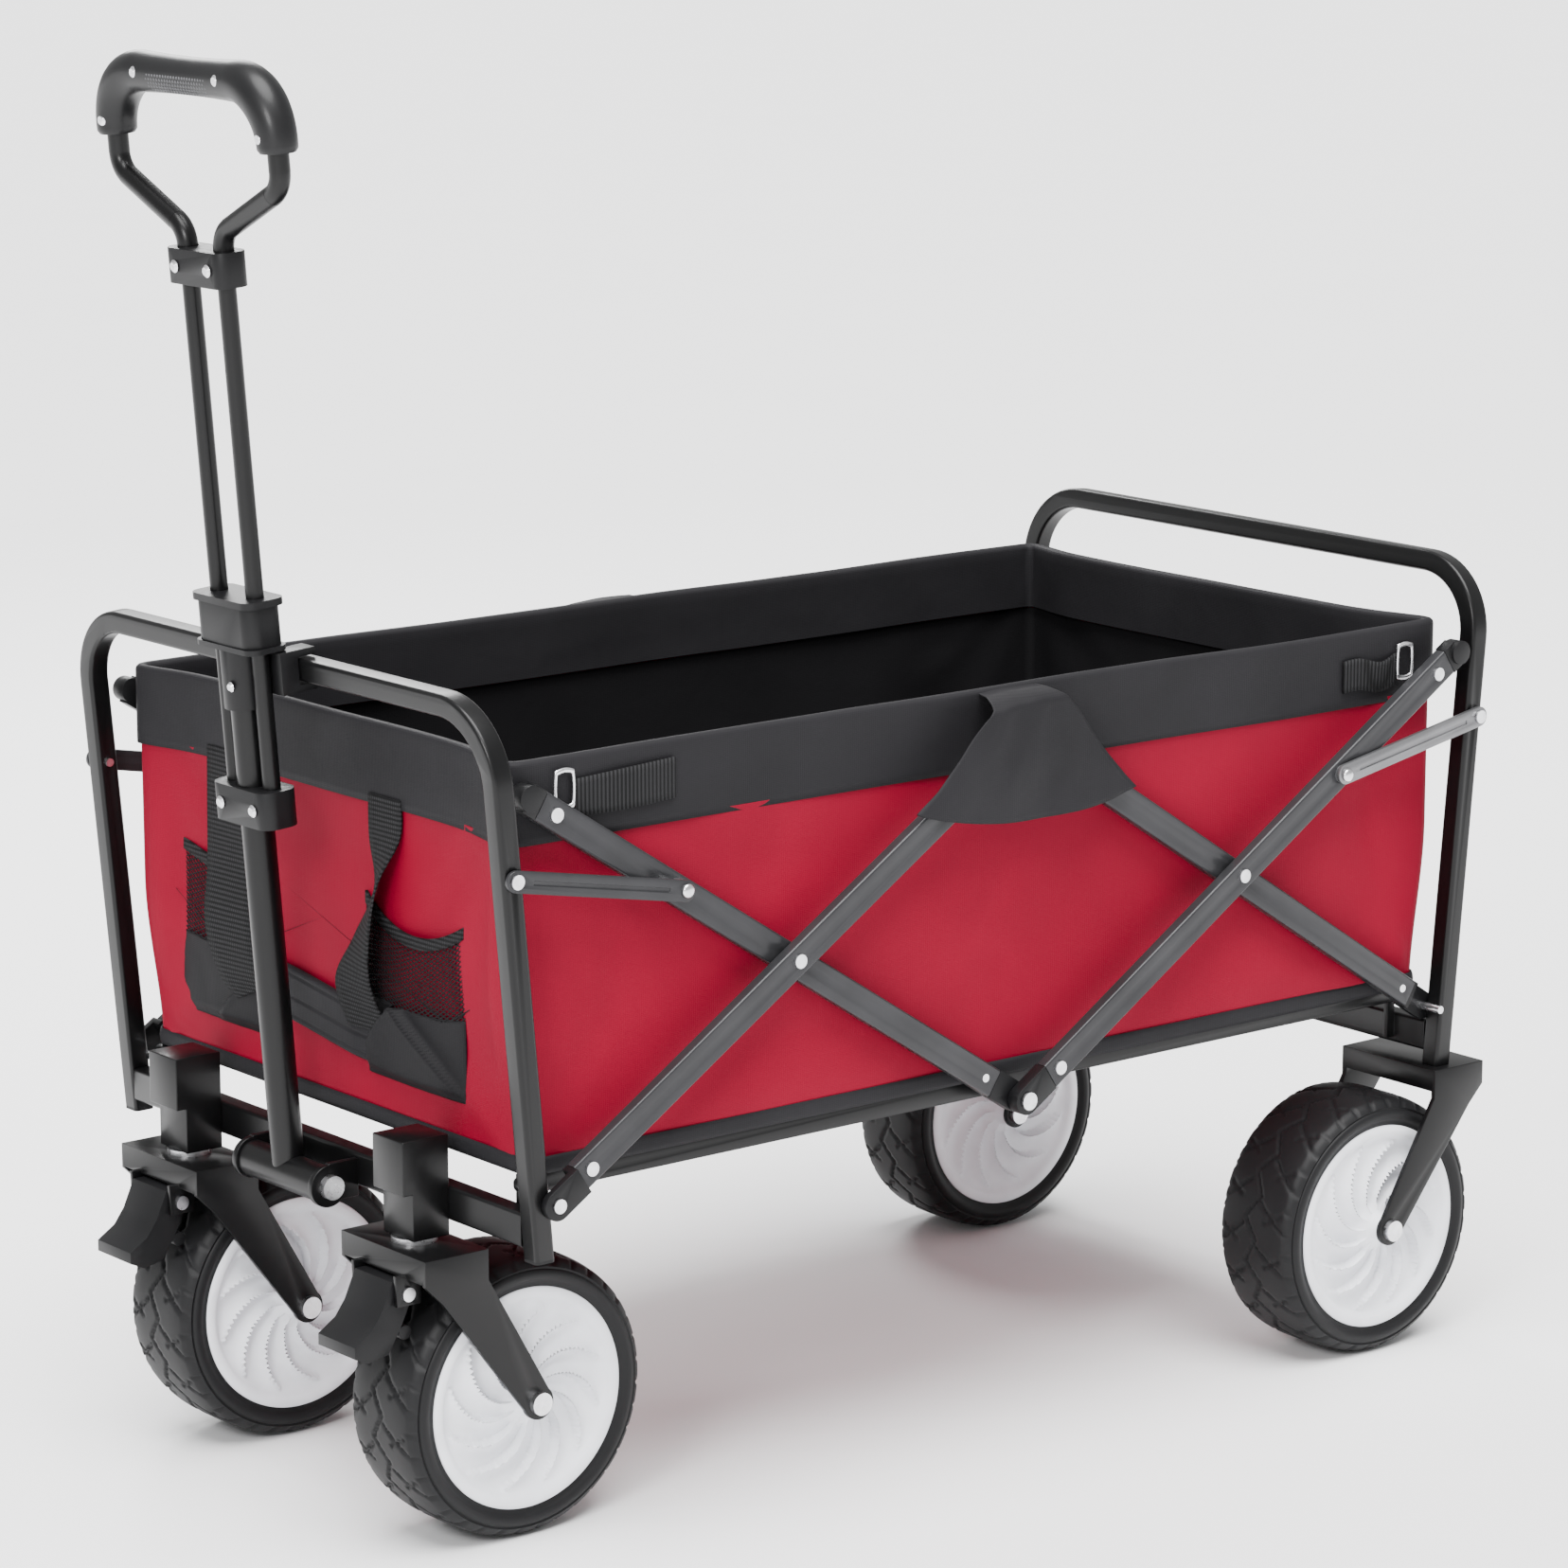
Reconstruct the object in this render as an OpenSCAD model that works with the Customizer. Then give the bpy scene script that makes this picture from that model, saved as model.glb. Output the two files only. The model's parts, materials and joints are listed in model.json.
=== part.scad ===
// Folding camp wagon: scissor-folding steel frame, fabric tub, telescopic pull handle.
// Millimetres. +X points to the rear, +Z up, the ground is z = 0.
// The origin lies on the ground, below the middle of the overall length.

/* [Frame] */
// Height of the lower scissor pivots above the ground
pivot_z = 263; // [255:1:290]
// Half the distance between the front and rear pivots, wagon open
half_open = 418; // [360:1:500]
// Height that a scissor bar rises from its lower to its upper end, wagon open
bar_rise = 269; // [240:1:290]
// Angle through which the scissor bars turn when the wagon folds, in degrees
fold_turn = 39.5; // [30:0.5:40]
// Distance from the wagon's centre line to the middle of a post
post_y = 249; // [249:1:270]
// Outside width of the square tube that the hoops are bent from
hoop_tube = 16; // [12:1:18]
// Height of the hoops' top bars above the ground
hoop_top_z = 598; // [570:1:640]
// Radius of the hoops' bends, at the middle of the tube
hoop_bend_r = 52; // [30:1:80]
// How far the posts lean outwards, in degrees
post_lean = 5.1; // [3:0.1:7]
// Wall of the steel tubes
tube_wall = 1.4; // [1:0.1:2]

/* [Scissor bars] */
// Width of a scissor bar, seen from the side
bar_w = 21; // [18:1:24]
// Thickness of a scissor bar, across the wagon
bar_t = 10; // [8:1:10]
// Diameter of the rivets that the bars turn on
pin_d = 6; // [5:0.5:8]
// Length along a bar from its upper rivet to its stay link
link_reach = 131; // [120:1:140]
// Width of a stay link
link_w = 15; // [12:1:18]
// Thickness of a stay link
link_t = 3.2; // [2:0.1:3.6]

/* [Wheels] */
// Outside diameter of a tyre
tyre_d = 201; // [180:1:205]
// Width of a tyre
tyre_w = 78; // [60:1:80]
// Diameter of the wheel disc
rim_d = 157; // [130:1:165]
// Diameter of an axle
axle_d = 8; // [6:1:12]
// Distance from the centre line to the middle of a front wheel
front_wheel_y = 141; // [135:1:150]
// Distance from the centre line to the middle of a rear wheel
rear_wheel_y = 215; // [205:1:225]
// Distance from a fork's head to its axle, along the wagon, front
front_trail = 67; // [50:1:70]
// Distance from a fork's head to its axle, along the wagon, rear
rear_trail = 70; // [50:1:80]
// Thickness of a fork arm
arm_t = 4; // [3:0.5:6]

/* [Pull handle] */
// Lean of the pull handle when it is clipped up, in degrees
pole_lean = 4.55; // [3:0.05:6]
// Diameter of the lower pull tube
pull_d = 23; // [20:1:26]
// Diameter of the two sliding tubes
slide_d = 12.5; // [10:0.5:14]
// Distance from the centre line to a sliding tube
slide_y = 22; // [20:0.5:26]
// Diameter of the handle loop's tube
loop_d = 14.5; // [12:0.5:16]
// Distance from the hinge to the top of the handle loop, as it stands
loop_top = 765; // [700:1:820]
// Half the width of the handle loop, at the middle of its tube
loop_half_w = 98; // [80:1:110]
// Thickness of the hand grip
grip_d = 28; // [24:1:32]

/* [Fabric tub] */
// Length of the tub, outside
tub_l = 838; // [700:1:900]
// Width of the tub, outside
tub_w = 462; // [420:1:464]
// Height of the tub's rim above the ground
rim_z = 558; // [500:1:575]
// Height of the dark band round the rim
band_h = 55; // [40:1:80]
// Thickness of the tub's cloth with its stiffening
cloth_t = 3; // [2:0.5:5]
// Width of a bottle pocket
pocket_w = 114; // [80:1:120]
// Depth of a bottle pocket, front to back
pocket_d = 18; // [12:1:24]

/* [Hidden] */
$fn = 48;
// Running clearance, per side, of a pin in its hole
run = 0.05;
// Clearance, per side, between pieces fixed to each other
snug = 0.02;
// Clearance between cloth and its neighbours
soft_gap = 0.3;
// Clearance, per side, of the telescopic tubes in their guides
glide = 0.15;

// Scissor geometry
bar_len = sqrt(half_open * half_open + bar_rise * bar_rise);
bar_angle = atan2(bar_rise, half_open);
folded_angle = bar_angle + fold_turn;
top_joint_z = pivot_z + bar_rise;
// Layers across the wagon: the inner bars, the outer bars and the links
inner_y = [post_y - 11, post_y - 11 + bar_t];
outer_y = [post_y, post_y + bar_t];
ear_t = 5.5;
post_out_y = post_y + hoop_tube / 2;
post_in_y = post_y - hoop_tube / 2;
outer_ear_y = [post_out_y + 0.5, post_out_y + 0.5 + ear_t];
inner_ear_y = [post_in_y - 0.5 - ear_t, post_in_y - 0.5];
front_link_y = [post_out_y + 0.5, post_out_y + 0.5 + link_t];
rear_link_y = [outer_y[1] + 1, outer_y[1] + 1 + link_t];
head_t = 1.6;
head_d = 10;

// Posts: the middle of the post at pivot height lies this far outside the pivot
post_offset = 10;
post_low_z = 225;
function post_x(z) = half_open + post_offset + (z - pivot_z) * tan(post_lean);
post_up = round(10 * (hoop_top_z - pivot_z) / cos(post_lean)) / 10;

// Pull handle, measured along the handle from its hinge
hinge_x = half_open + 40;
hinge_z = pivot_z - 27;
barrel_d = 26;
barrel_half = 44;
hinge_pin_d = 10;
bracket_low = 254;
bracket_high = 280;
ring_low = 335;
collar_low = 377;
collar_high = 412;
clamp_low = 626;
clamp_high = 650;
tube_split = 638;
guide_half_w = slide_y + slide_d / 2 + 6;
guide_half_t = 15;
clamp_half_t = 12.5;

// The scissor's middle lies this far from the middle of the overall length
front_reach = hinge_x + loop_top * sin(pole_lean) + grip_d / 2 * cos(pole_lean);
rear_reach = post_x(hoop_top_z) + hoop_tube / 2;
mid_x = (front_reach - rear_reach) / 2;

// Stay links: the post rivet's height at which a link fits both open and folded
function link_bar(a) = [-half_open + link_reach * cos(a), pivot_z + bar_len * sin(a) - link_reach * sin(a)];
link_post_x = post_x(pivot_z + 0.83 * bar_rise);
link_open = link_bar(bar_angle);
link_shut = link_bar(folded_angle);
link_post_z = (pow(link_shut[1], 2) - pow(link_open[1], 2)
    + pow(link_shut[0] + link_post_x, 2) - pow(link_open[0] + link_post_x, 2))
    / (2 * (link_shut[1] - link_open[1]));
link_vec = [link_open[0] + link_post_x, link_open[1] - link_post_z];
link_len = norm(link_vec);
link_angle = atan2(link_vec[1], link_vec[0]);

// Floor rails
rail_w = 9;
rail_h = 12;
rail_z = pivot_z + 6;
front_rail_y = tub_w / 2 - 7;
rear_rail_y = front_rail_y - rail_w - 1;
cross_tube_back = 150;
function rail_pin_y(rail_y) = [rail_y - rail_w / 2 - 4.3, rail_y + rail_w / 2 + 0.5];

// Wheels and forks
tyre_r = tyre_d / 2;
fork_half = tyre_w / 2 + 11;
fork_top = tyre_r * 2 + 17;
fork_plate_l = 52;
fork_flange = 17;
stem_x = post_x(pivot_z) + 22.5;
stem_d = 14;
stem_top = fork_top + 66;
column_low = fork_top + 4;
column_step = column_low + 33;
column_top = column_low + 71;
column_w = 36;
crossbar_z = [232, 256];
crossbar_t = 15;
// The rear cross tube sits lower, clear of the bars' ears
rear_drop = 4.5;
pedal_w = 44;
rear_head_x = post_x(post_low_z) + 9;

// Tub
tub_z = rail_z + rail_h / 2 + soft_gap;
tub_r = 12;
band_t = 1.5;
cover_t = 1.5;
pocket_y = 116;
pocket_z = [312, 438];
mat_t = 6;

// ---- Helpers ----------------------------------------------------------------

// Places children, drawn about the scissor's middle, in the wagon's frame
module at_mid() {
    translate([mid_x, 0, 0]) children();
}

// Draws children on the left (+Y) and on the right (-Y)
module both_sides() {
    children();
    mirror([0, 1, 0]) children();
}

// Mirrors front geometry (drawn on the -X side) to the rear
module rearward() {
    mirror([1, 0, 0]) children();
}

// Draws children on one side: 1 is left, -1 is right
module on_side(side) {
    mirror([0, side > 0 ? 0 : 1, 0]) children();
}

// A round rod along Y, between two distances from the centre line
module rod_y(x, z, d, y) {
    translate([x, y[0], z]) rotate([-90, 0, 0]) cylinder(d = d, h = y[1] - y[0]);
}

// A rectangle with round corners, of exact arcs
module round_rect(w, h, r) {
    square([w - 2 * r, h], center = true);
    square([w, h - 2 * r], center = true);
    for (sx = [-1, 1], sy = [-1, 1]) translate([sx * (w / 2 - r), sy * (h / 2 - r)]) circle(r = r);
}

// A rectangular tube's section
module tube_section(w, h, r, wall) {
    difference() {
        round_rect(w, h, r);
        round_rect(w - 2 * wall, h - 2 * wall, r - wall * 0.6);
    }
}

// Moves children, drawn along +X from a bar's end, to that end and slope
module along(x, z, angle) {
    translate([x, 0, z]) rotate([0, -angle, 0]) children();
}

// A straight bar of rectangular tube from start to stop, with holes [distance, diameter]
module bar(x, z, angle, y, start, stop, holes) {
    along(x, z, angle) difference() {
        translate([start, (y[0] + y[1]) / 2, 0]) rotate([90, 0, 90])
            linear_extrude(stop - start) tube_section(y[1] - y[0], bar_w, 2, tube_wall);
        for (hole = holes) rod_y(hole[0], 0, hole[1], [y[0] - 1, y[1] + 1]);
    }
}

// A rivet: shank and a low round head on its outer end
module rivet(x, z, y) {
    rod_y(x, z, pin_d, y);
    rod_y(x, z, head_d, [y[1], y[1] + head_t]);
}

// Where a bar's tube starts, where a plug's neck and tongue lie along it, and its rivet
plug_tip = 26;
plug_neck = 21;
plug_end = 46;
plug_rivet = 36;
// Distance from a bar's free end to the rivet of its corner cap
cap_rivet = 14;

// A moulded end plug: an ear round the pivot and a tongue inside the bar
module end_plug(x, z, angle, bar_y, ear_y, hole_d) {
    tongue = bar_t - 2 * tube_wall - 2 * snug;
    middle = (bar_y[0] + bar_y[1]) / 2;
    near = min(ear_y[0], middle - tongue / 2);
    far = max(ear_y[1], middle + tongue / 2);
    tongue_h = bar_w - 2 * tube_wall - 2;
    along(x, z, angle) difference() {
        union() {
            rod_y(0, 0, bar_w, ear_y);
            translate([0, ear_y[0], -bar_w / 2]) cube([plug_tip - 0.5, ear_y[1] - ear_y[0], bar_w]);
            translate([plug_neck, near, -bar_w / 2]) cube([plug_tip - 0.5 - plug_neck, far - near, bar_w]);
            translate([plug_neck + 1, middle - tongue / 2, -tongue_h / 2])
                cube([plug_end - plug_neck - 1, tongue, tongue_h]);
        }
        rod_y(0, 0, hole_d, [near - 1, far + 1]);
        rod_y(plug_rivet, 0, fixed_hole, [near - 1, far + 1]);
    }
}

running_hole = pin_d + 2 * run;
fixed_hole = pin_d + 2 * snug;
half_bar = bar_len / 2;
bar_stop = bar_len - plug_tip;

// ---- Front and rear frames --------------------------------------------------

// One hoop on the -X side: two leaning posts cut level at low_z, two bends and a top bar
module hoop_shape(low_z) {
    straight = 2 * (post_y - hoop_bend_r);
    down = ceil((pivot_z - low_z) / cos(post_lean)) + 2;
    difference() {
        translate([-half_open - post_offset, 0, pivot_z]) rotate([0, -post_lean, 0]) {
            both_sides() {
                translate([0, post_y, -down]) linear_extrude(down + post_up - hoop_bend_r)
                    tube_section(hoop_tube, hoop_tube, 3, tube_wall);
                translate([0, post_y - hoop_bend_r, post_up - hoop_bend_r]) rotate([90, 0, 90])
                    rotate_extrude(angle = 90) translate([hoop_bend_r, 0])
                    tube_section(hoop_tube, hoop_tube, 3, tube_wall);
            }
            translate([0, straight / 2, post_up]) rotate([90, 0, 0])
                linear_extrude(straight) tube_section(hoop_tube, hoop_tube, 3, tube_wall);
        }
        translate([-post_x(low_z) - 2 * hoop_tube, -2 * post_y, low_z - 20])
            cube([4 * hoop_tube, 4 * post_y, 20]);
        both_sides() {
            rod_y(-link_post_x, link_post_z, fixed_hole, [post_y - hoop_tube, post_y + hoop_tube]);
            rod_y(-half_open, pivot_z, fixed_hole, [post_y - hoop_tube, post_y + hoop_tube]);
        }
    }
}

module front_hoop() color([0.09, 0.09, 0.1]) at_mid() hoop_shape(post_low_z);

module rear_hoop() color([0.09, 0.09, 0.1]) at_mid() rearward() hoop_shape(fork_top + snug);

// A lower cross tube between the posts' inner faces, on the -X side
module crossbar_shape(drop) {
    half = post_in_y - 0.1;
    middle_z = (crossbar_z[0] + crossbar_z[1]) / 2;
    translate([-post_x(middle_z), half, middle_z - drop]) rotate([90, 0, 0])
        linear_extrude(2 * half) tube_section(crossbar_t, crossbar_z[1] - crossbar_z[0], 2.5, tube_wall);
}

// Brackets that carry the floor rails' pivots, on the +Y side of the -X end
module rail_bracket(rail_y) {
    low = crossbar_z[0];
    face_x = -post_x((crossbar_z[0] + crossbar_z[1]) / 2) + crossbar_t / 2;
    rail_in = rail_y - rail_w / 2 - 0.3;
    difference() {
        translate([face_x, rail_in - 4, low]) cube([-half_open + 7 - face_x, 4, rail_z + rail_h / 2 - low]);
        rod_y(-half_open, rail_z, fixed_hole, [rail_in - 5, rail_in + 1]);
    }
}

module front_crossbar() color([0.1, 0.1, 0.11]) at_mid() {
    crossbar_shape(0);
    both_sides() rail_bracket(front_rail_y);
}

module rear_crossbar() color([0.1, 0.1, 0.11]) at_mid() rearward() {
    crossbar_shape(rear_drop);
    both_sides() rail_bracket(rear_rail_y);
}

// Square columns that hold the casters' swivel stems, in front of the cross tube
module caster_columns() color([0.1, 0.1, 0.11]) at_mid() both_sides() difference() {
    back = -post_x((crossbar_z[0] + crossbar_z[1]) / 2) - crossbar_t / 2 - 0.02;
    union() {
        translate([-stem_x - 13, front_wheel_y - column_w / 2, column_low])
            cube([back + stem_x + 13, column_w, column_top - column_low]);
        translate([-stem_x - 21, front_wheel_y - column_w / 2, column_step])
            cube([9, column_w, column_top - column_step]);
    }
    translate([-stem_x, front_wheel_y, column_low - 1])
        cylinder(d = stem_d + 2 * run, h = stem_top - column_low + 3);
}

// Two ears on the cross tube that carry the pull handle's hinge bolt
module handle_bracket() color([0.1, 0.1, 0.11]) at_mid() both_sides() difference() {
    back = -post_x((crossbar_z[0] + crossbar_z[1]) / 2) - crossbar_t / 2 - 0.02;
    union() {
        rod_y(-hinge_x, hinge_z, barrel_d + 4, [barrel_half + 1, barrel_half + 6]);
        translate([-hinge_x, barrel_half + 1, hinge_z - 11]) cube([back + hinge_x, 5, 27]);
    }
    rod_y(-hinge_x, hinge_z, hinge_pin_d + 2 * snug, [barrel_half, barrel_half + 7]);
}

// Rivets and bolts fixed to the front frame
module front_fasteners() color([0.75, 0.76, 0.78]) at_mid() {
    rod_y(-hinge_x, hinge_z, hinge_pin_d, [-barrel_half - 8, barrel_half + 8]);
    both_sides() {
        rod_y(-hinge_x, hinge_z, 17, [barrel_half + 6.02, barrel_half + 12]);
        rivet(-link_post_x, link_post_z, [post_in_y - 2, front_link_y[1] + 0.3]);
        rivet(-half_open, pivot_z, [post_in_y - 2, outer_ear_y[1] + 0.3]);
        rod_y(-half_open, rail_z, pin_d, rail_pin_y(front_rail_y));
    }
}

// Moulded plugs in the open lower ends of the front posts
module post_plugs() color([0.07, 0.07, 0.08]) at_mid() both_sides() {
    inside = hoop_tube - 2 * tube_wall - 0.8;
    foot = 2;
    translate([-post_x(post_low_z), post_y, post_low_z - foot - snug]) {
        linear_extrude(foot) round_rect(hoop_tube, hoop_tube, 3);
        rotate([0, -post_lean, 0]) translate([0, 0, foot / 2])
            linear_extrude(12) round_rect(inside, inside, 1);
    }
}

// A fork: head plate with flanges and two arms, drawn with the head's middle at x = 0
module fork(trail) {
    arm_r = 12;
    reach = [trail - 8, tyre_r - fork_top + 18];
    unit = reach / norm(reach);
    side = [-unit[1], unit[0]] * (arm_r - 0.6);
    half_l = fork_plate_l / 2;
    difference() {
        union() {
            translate([-half_l, -fork_half, fork_top - 4]) cube([fork_plate_l, 2 * fork_half, 4]);
            for (end = [-half_l, half_l - 3])
                translate([end, -fork_half, fork_top - fork_flange]) cube([3, 2 * fork_half, fork_flange]);
            both_sides() translate([0, fork_half, 0]) rotate([90, 0, 0]) linear_extrude(arm_t) {
                polygon([[-half_l, fork_top], [half_l, fork_top], [half_l, fork_top - 22],
                    [trail + side[0], tyre_r + side[1]], [trail - side[0], tyre_r - side[1]],
                    [-half_l + 14, fork_top - 32], [-half_l, fork_top - 18]]);
                translate([trail, tyre_r]) circle(r = arm_r);
            }
        }
        rod_y(trail, tyre_r, axle_d + 2 * snug, [-fork_half - 1, fork_half + 1]);
    }
}

// The wheel's bolt with a head at each end
module axle(x, y) {
    translate([x, y, 0]) {
        rod_y(0, tyre_r, axle_d, [-fork_half - 4, fork_half + 4]);
        both_sides() rod_y(0, tyre_r, 16, [fork_half + snug, fork_half + 4.5]);
    }
}

module rear_forks() color([0.1, 0.1, 0.11]) at_mid() both_sides()
    translate([rear_head_x, rear_wheel_y, 0]) rearward() fork(rear_trail);

module rear_axles() color([0.75, 0.76, 0.78]) at_mid() for (side = [-1, 1])
    axle(rear_head_x - rear_trail, side * rear_wheel_y);

module rear_fasteners() color([0.75, 0.76, 0.78]) at_mid() rearward() both_sides() {
    rivet(-link_post_x, link_post_z, [post_in_y - 2, rear_link_y[1] + 0.3]);
    rod_y(-half_open, pivot_z, pin_d, [inner_ear_y[0] - 0.3, post_out_y + 2]);
    rod_y(-half_open, rail_z, pin_d, rail_pin_y(rear_rail_y));
}

// ---- Scissor bars -----------------------------------------------------------

// Front outer bar: lower front pivot to the top joint
module front_outer_bar(side) color([0.3, 0.3, 0.33]) at_mid() on_side(side)
    bar(-half_open, pivot_z, bar_angle, outer_y, plug_tip, bar_stop,
        [[plug_rivet, fixed_hole], [half_bar, fixed_hole], [bar_len - plug_rivet, fixed_hole]]);

// Front inner bar: upper front corner to the bottom joint
module front_inner_bar(side) color([0.3, 0.3, 0.33]) at_mid() on_side(side)
    bar(-half_open, top_joint_z, -bar_angle, inner_y, 0, bar_stop,
        [[cap_rivet, fixed_hole], [link_reach, fixed_hole], [half_bar, running_hole],
        [bar_len - plug_rivet, fixed_hole]]);

// Rear inner bar: top joint to the lower rear pivot
module rear_inner_bar(side) color([0.3, 0.3, 0.33]) at_mid() on_side(side)
    bar(0, top_joint_z, -bar_angle, inner_y, plug_tip, bar_stop,
        [[plug_rivet, fixed_hole], [half_bar, running_hole], [bar_len - plug_rivet, fixed_hole]]);

// Rear outer bar: bottom joint to the upper rear corner
module rear_outer_bar(side) color([0.3, 0.3, 0.33]) at_mid() on_side(side)
    bar(0, pivot_z, bar_angle, outer_y, plug_tip, bar_len,
        [[plug_rivet, fixed_hole], [half_bar, fixed_hole], [bar_len - link_reach, fixed_hole],
        [bar_len - cap_rivet, fixed_hole]]);

module front_outer_bar_left() front_outer_bar(1);
module front_outer_bar_right() front_outer_bar(-1);
module front_inner_bar_left() front_inner_bar(1);
module front_inner_bar_right() front_inner_bar(-1);
module rear_inner_bar_left() rear_inner_bar(1);
module rear_inner_bar_right() rear_inner_bar(-1);
module rear_outer_bar_left() rear_outer_bar(1);
module rear_outer_bar_right() rear_outer_bar(-1);

// The corner cap on a bar's free upper end, with a peg that holds the tub's corner
module corner_cap(bar_y) {
    tongue = bar_t - 2 * tube_wall - 2 * snug;
    middle = (bar_y[0] + bar_y[1]) / 2;
    difference() {
        union() {
            translate([-12, bar_y[0], -bar_w / 2]) cube([11.5, bar_t, bar_w]);
            rod_y(-12, 0, 18, [bar_y[0], bar_y[1] + 3]);
            translate([-1, middle - tongue / 2, -bar_w / 2 + tube_wall + 1])
                cube([24, tongue, bar_w - 2 * tube_wall - 2]);
        }
        rod_y(cap_rivet, 0, fixed_hole, bar_y);
    }
}

module front_outer_plugs() color([0.12, 0.12, 0.13]) at_mid() both_sides() {
    end_plug(-half_open, pivot_z, bar_angle, outer_y, outer_ear_y, running_hole);
    end_plug(0, top_joint_z, bar_angle + 180, outer_y, outer_y, fixed_hole);
}

module front_inner_plugs() color([0.12, 0.12, 0.13]) at_mid() both_sides() {
    along(-half_open, top_joint_z, -bar_angle) corner_cap(inner_y);
    end_plug(0, pivot_z, 180 - bar_angle, inner_y, inner_y, fixed_hole);
}

module rear_inner_plugs() color([0.12, 0.12, 0.13]) at_mid() both_sides() {
    end_plug(0, top_joint_z, -bar_angle, inner_y, inner_y, running_hole);
    end_plug(half_open, pivot_z, 180 - bar_angle, inner_y, inner_ear_y, running_hole);
}

module rear_outer_plugs() color([0.12, 0.12, 0.13]) at_mid() both_sides() {
    end_plug(0, pivot_z, bar_angle, outer_y, outer_y, pin_d + 1);
    along(half_open, top_joint_z, bar_angle + 180) corner_cap(outer_y);
}

// A rivet that only holds a plug in its bar
module plug_pin(x, z, angle, y) {
    along(x, z, angle) rivet(plug_rivet, 0, y);
}

module front_outer_rivets() color([0.8, 0.81, 0.83]) at_mid() both_sides() {
    plug_pin(-half_open, pivot_z, bar_angle, outer_y);
    along(-half_open, pivot_z, bar_angle) {
        rivet(half_bar, 0, [inner_y[0] - 1, outer_y[1]]);
        rivet(bar_len - plug_rivet, 0, outer_y);
        rivet(bar_len, 0, [inner_y[0] - 1, outer_y[1]]);
    }
}

module front_inner_rivets() color([0.8, 0.81, 0.83]) at_mid() both_sides()
    along(-half_open, top_joint_z, -bar_angle) {
        rivet(cap_rivet, 0, inner_y);
        rod_y(link_reach, 0, pin_d, [inner_y[0], inner_y[1]]);
        rod_y(link_reach, 0, 14, [inner_y[1], front_link_y[0] - 0.3]);
        rod_y(bar_len - plug_rivet, 0, pin_d, inner_y);
        rod_y(bar_len, 0, pin_d, [inner_y[0] - 1, outer_y[1] + 0.5]);
        rod_y(bar_len, 0, 13, [outer_y[1] + 0.5, outer_y[1] + 2.5]);
    }

module rear_inner_rivets() color([0.8, 0.81, 0.83]) at_mid() both_sides()
    along(0, top_joint_z, -bar_angle)
        for (at = [plug_rivet, bar_len - plug_rivet]) rod_y(at, 0, pin_d, inner_y);

module rear_outer_rivets() color([0.8, 0.81, 0.83]) at_mid() both_sides() {
    plug_pin(0, pivot_z, bar_angle, outer_y);
    along(0, pivot_z, bar_angle) {
        rivet(half_bar, 0, [inner_y[0] - 1, outer_y[1]]);
        rod_y(bar_len - link_reach, 0, pin_d, outer_y);
        rod_y(bar_len - link_reach, 0, 14, [outer_y[1], rear_link_y[0] - 0.3]);
        rivet(bar_len - cap_rivet, 0, outer_y);
    }
}

// ---- Stay links and floor rails ---------------------------------------------

// A pressed strip with round ends and a raised bead, from the post's rivet to the bar
module stay_link(y) {
    along(-link_post_x, link_post_z, link_angle) difference() {
        union() {
            for (x = [0, link_len]) rod_y(x, 0, link_w, y);
            translate([0, y[0], -link_w / 2]) cube([link_len, y[1] - y[0], link_w]);
            rod_y(link_len, 0, head_d, [y[1], y[1] + head_t]);
        }
        rod_y(0, 0, running_hole, [y[0] - 1, y[1] + 1]);
        translate([14, y[1] - 1, -1.5]) cube([link_len - 28, 2, 3]);
    }
}

module front_stay_links() color([0.25, 0.25, 0.27]) at_mid() both_sides() stay_link(front_link_y);

module rear_stay_links() color([0.6, 0.6, 0.62]) at_mid() rearward() both_sides() stay_link(rear_link_y);

// A half of the folding floor frame: two rails and one cross tube, on the -X side
module floor_rails(rail_y) {
    both_sides() difference() {
        union() {
            rod_y(-half_open, rail_z, rail_h, [rail_y - rail_w / 2, rail_y + rail_w / 2]);
            translate([-half_open, rail_y - rail_w / 2, rail_z - rail_h / 2])
                cube([half_open - rail_h / 2, rail_w, rail_h]);
            rod_y(-rail_h / 2, rail_z, rail_h, [rail_y - rail_w / 2, rail_y + rail_w / 2]);
        }
        rod_y(-half_open, rail_z, running_hole, [rail_y - rail_w, rail_y + rail_w]);
    }
    rod_y(-cross_tube_back, rail_z, rail_h - 1, [-rail_y + rail_w / 2 + snug, rail_y - rail_w / 2 - snug]);
}

module front_floor_rails() color([0.15, 0.15, 0.16]) at_mid() floor_rails(front_rail_y);

module rear_floor_rails() color([0.15, 0.15, 0.16]) at_mid() rearward() floor_rails(rear_rail_y);

// ---- Casters and wheels -----------------------------------------------------

// Places children at a caster's swivel axis, with the wheel trailing to the rear
module at_stem(side) {
    at_mid() translate([-stem_x, side * front_wheel_y, 0]) children();
}

pedal_pivot = [-24, fork_top - 28];
module caster_fork(side) color([0.1, 0.1, 0.11]) at_stem(side) {
    difference() {
        union() {
            fork(front_trail);
            both_sides() translate([0, pedal_w / 2 + 4.5, 0]) rotate([90, 0, 0]) linear_extrude(3)
                polygon([[-34, fork_top - 14], [-24.5, fork_top - 14], [-24.5, fork_top - 3],
                    [-12, fork_top - 3], [-14, fork_top - 36], [-33, fork_top - 36]]);
        }
        translate([0, 0, fork_top - 5]) cylinder(d = stem_d + 2 * snug, h = 6);
        rod_y(pedal_pivot[0], pedal_pivot[1], fixed_hole, [-pedal_w, pedal_w]);
    }
}

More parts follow.
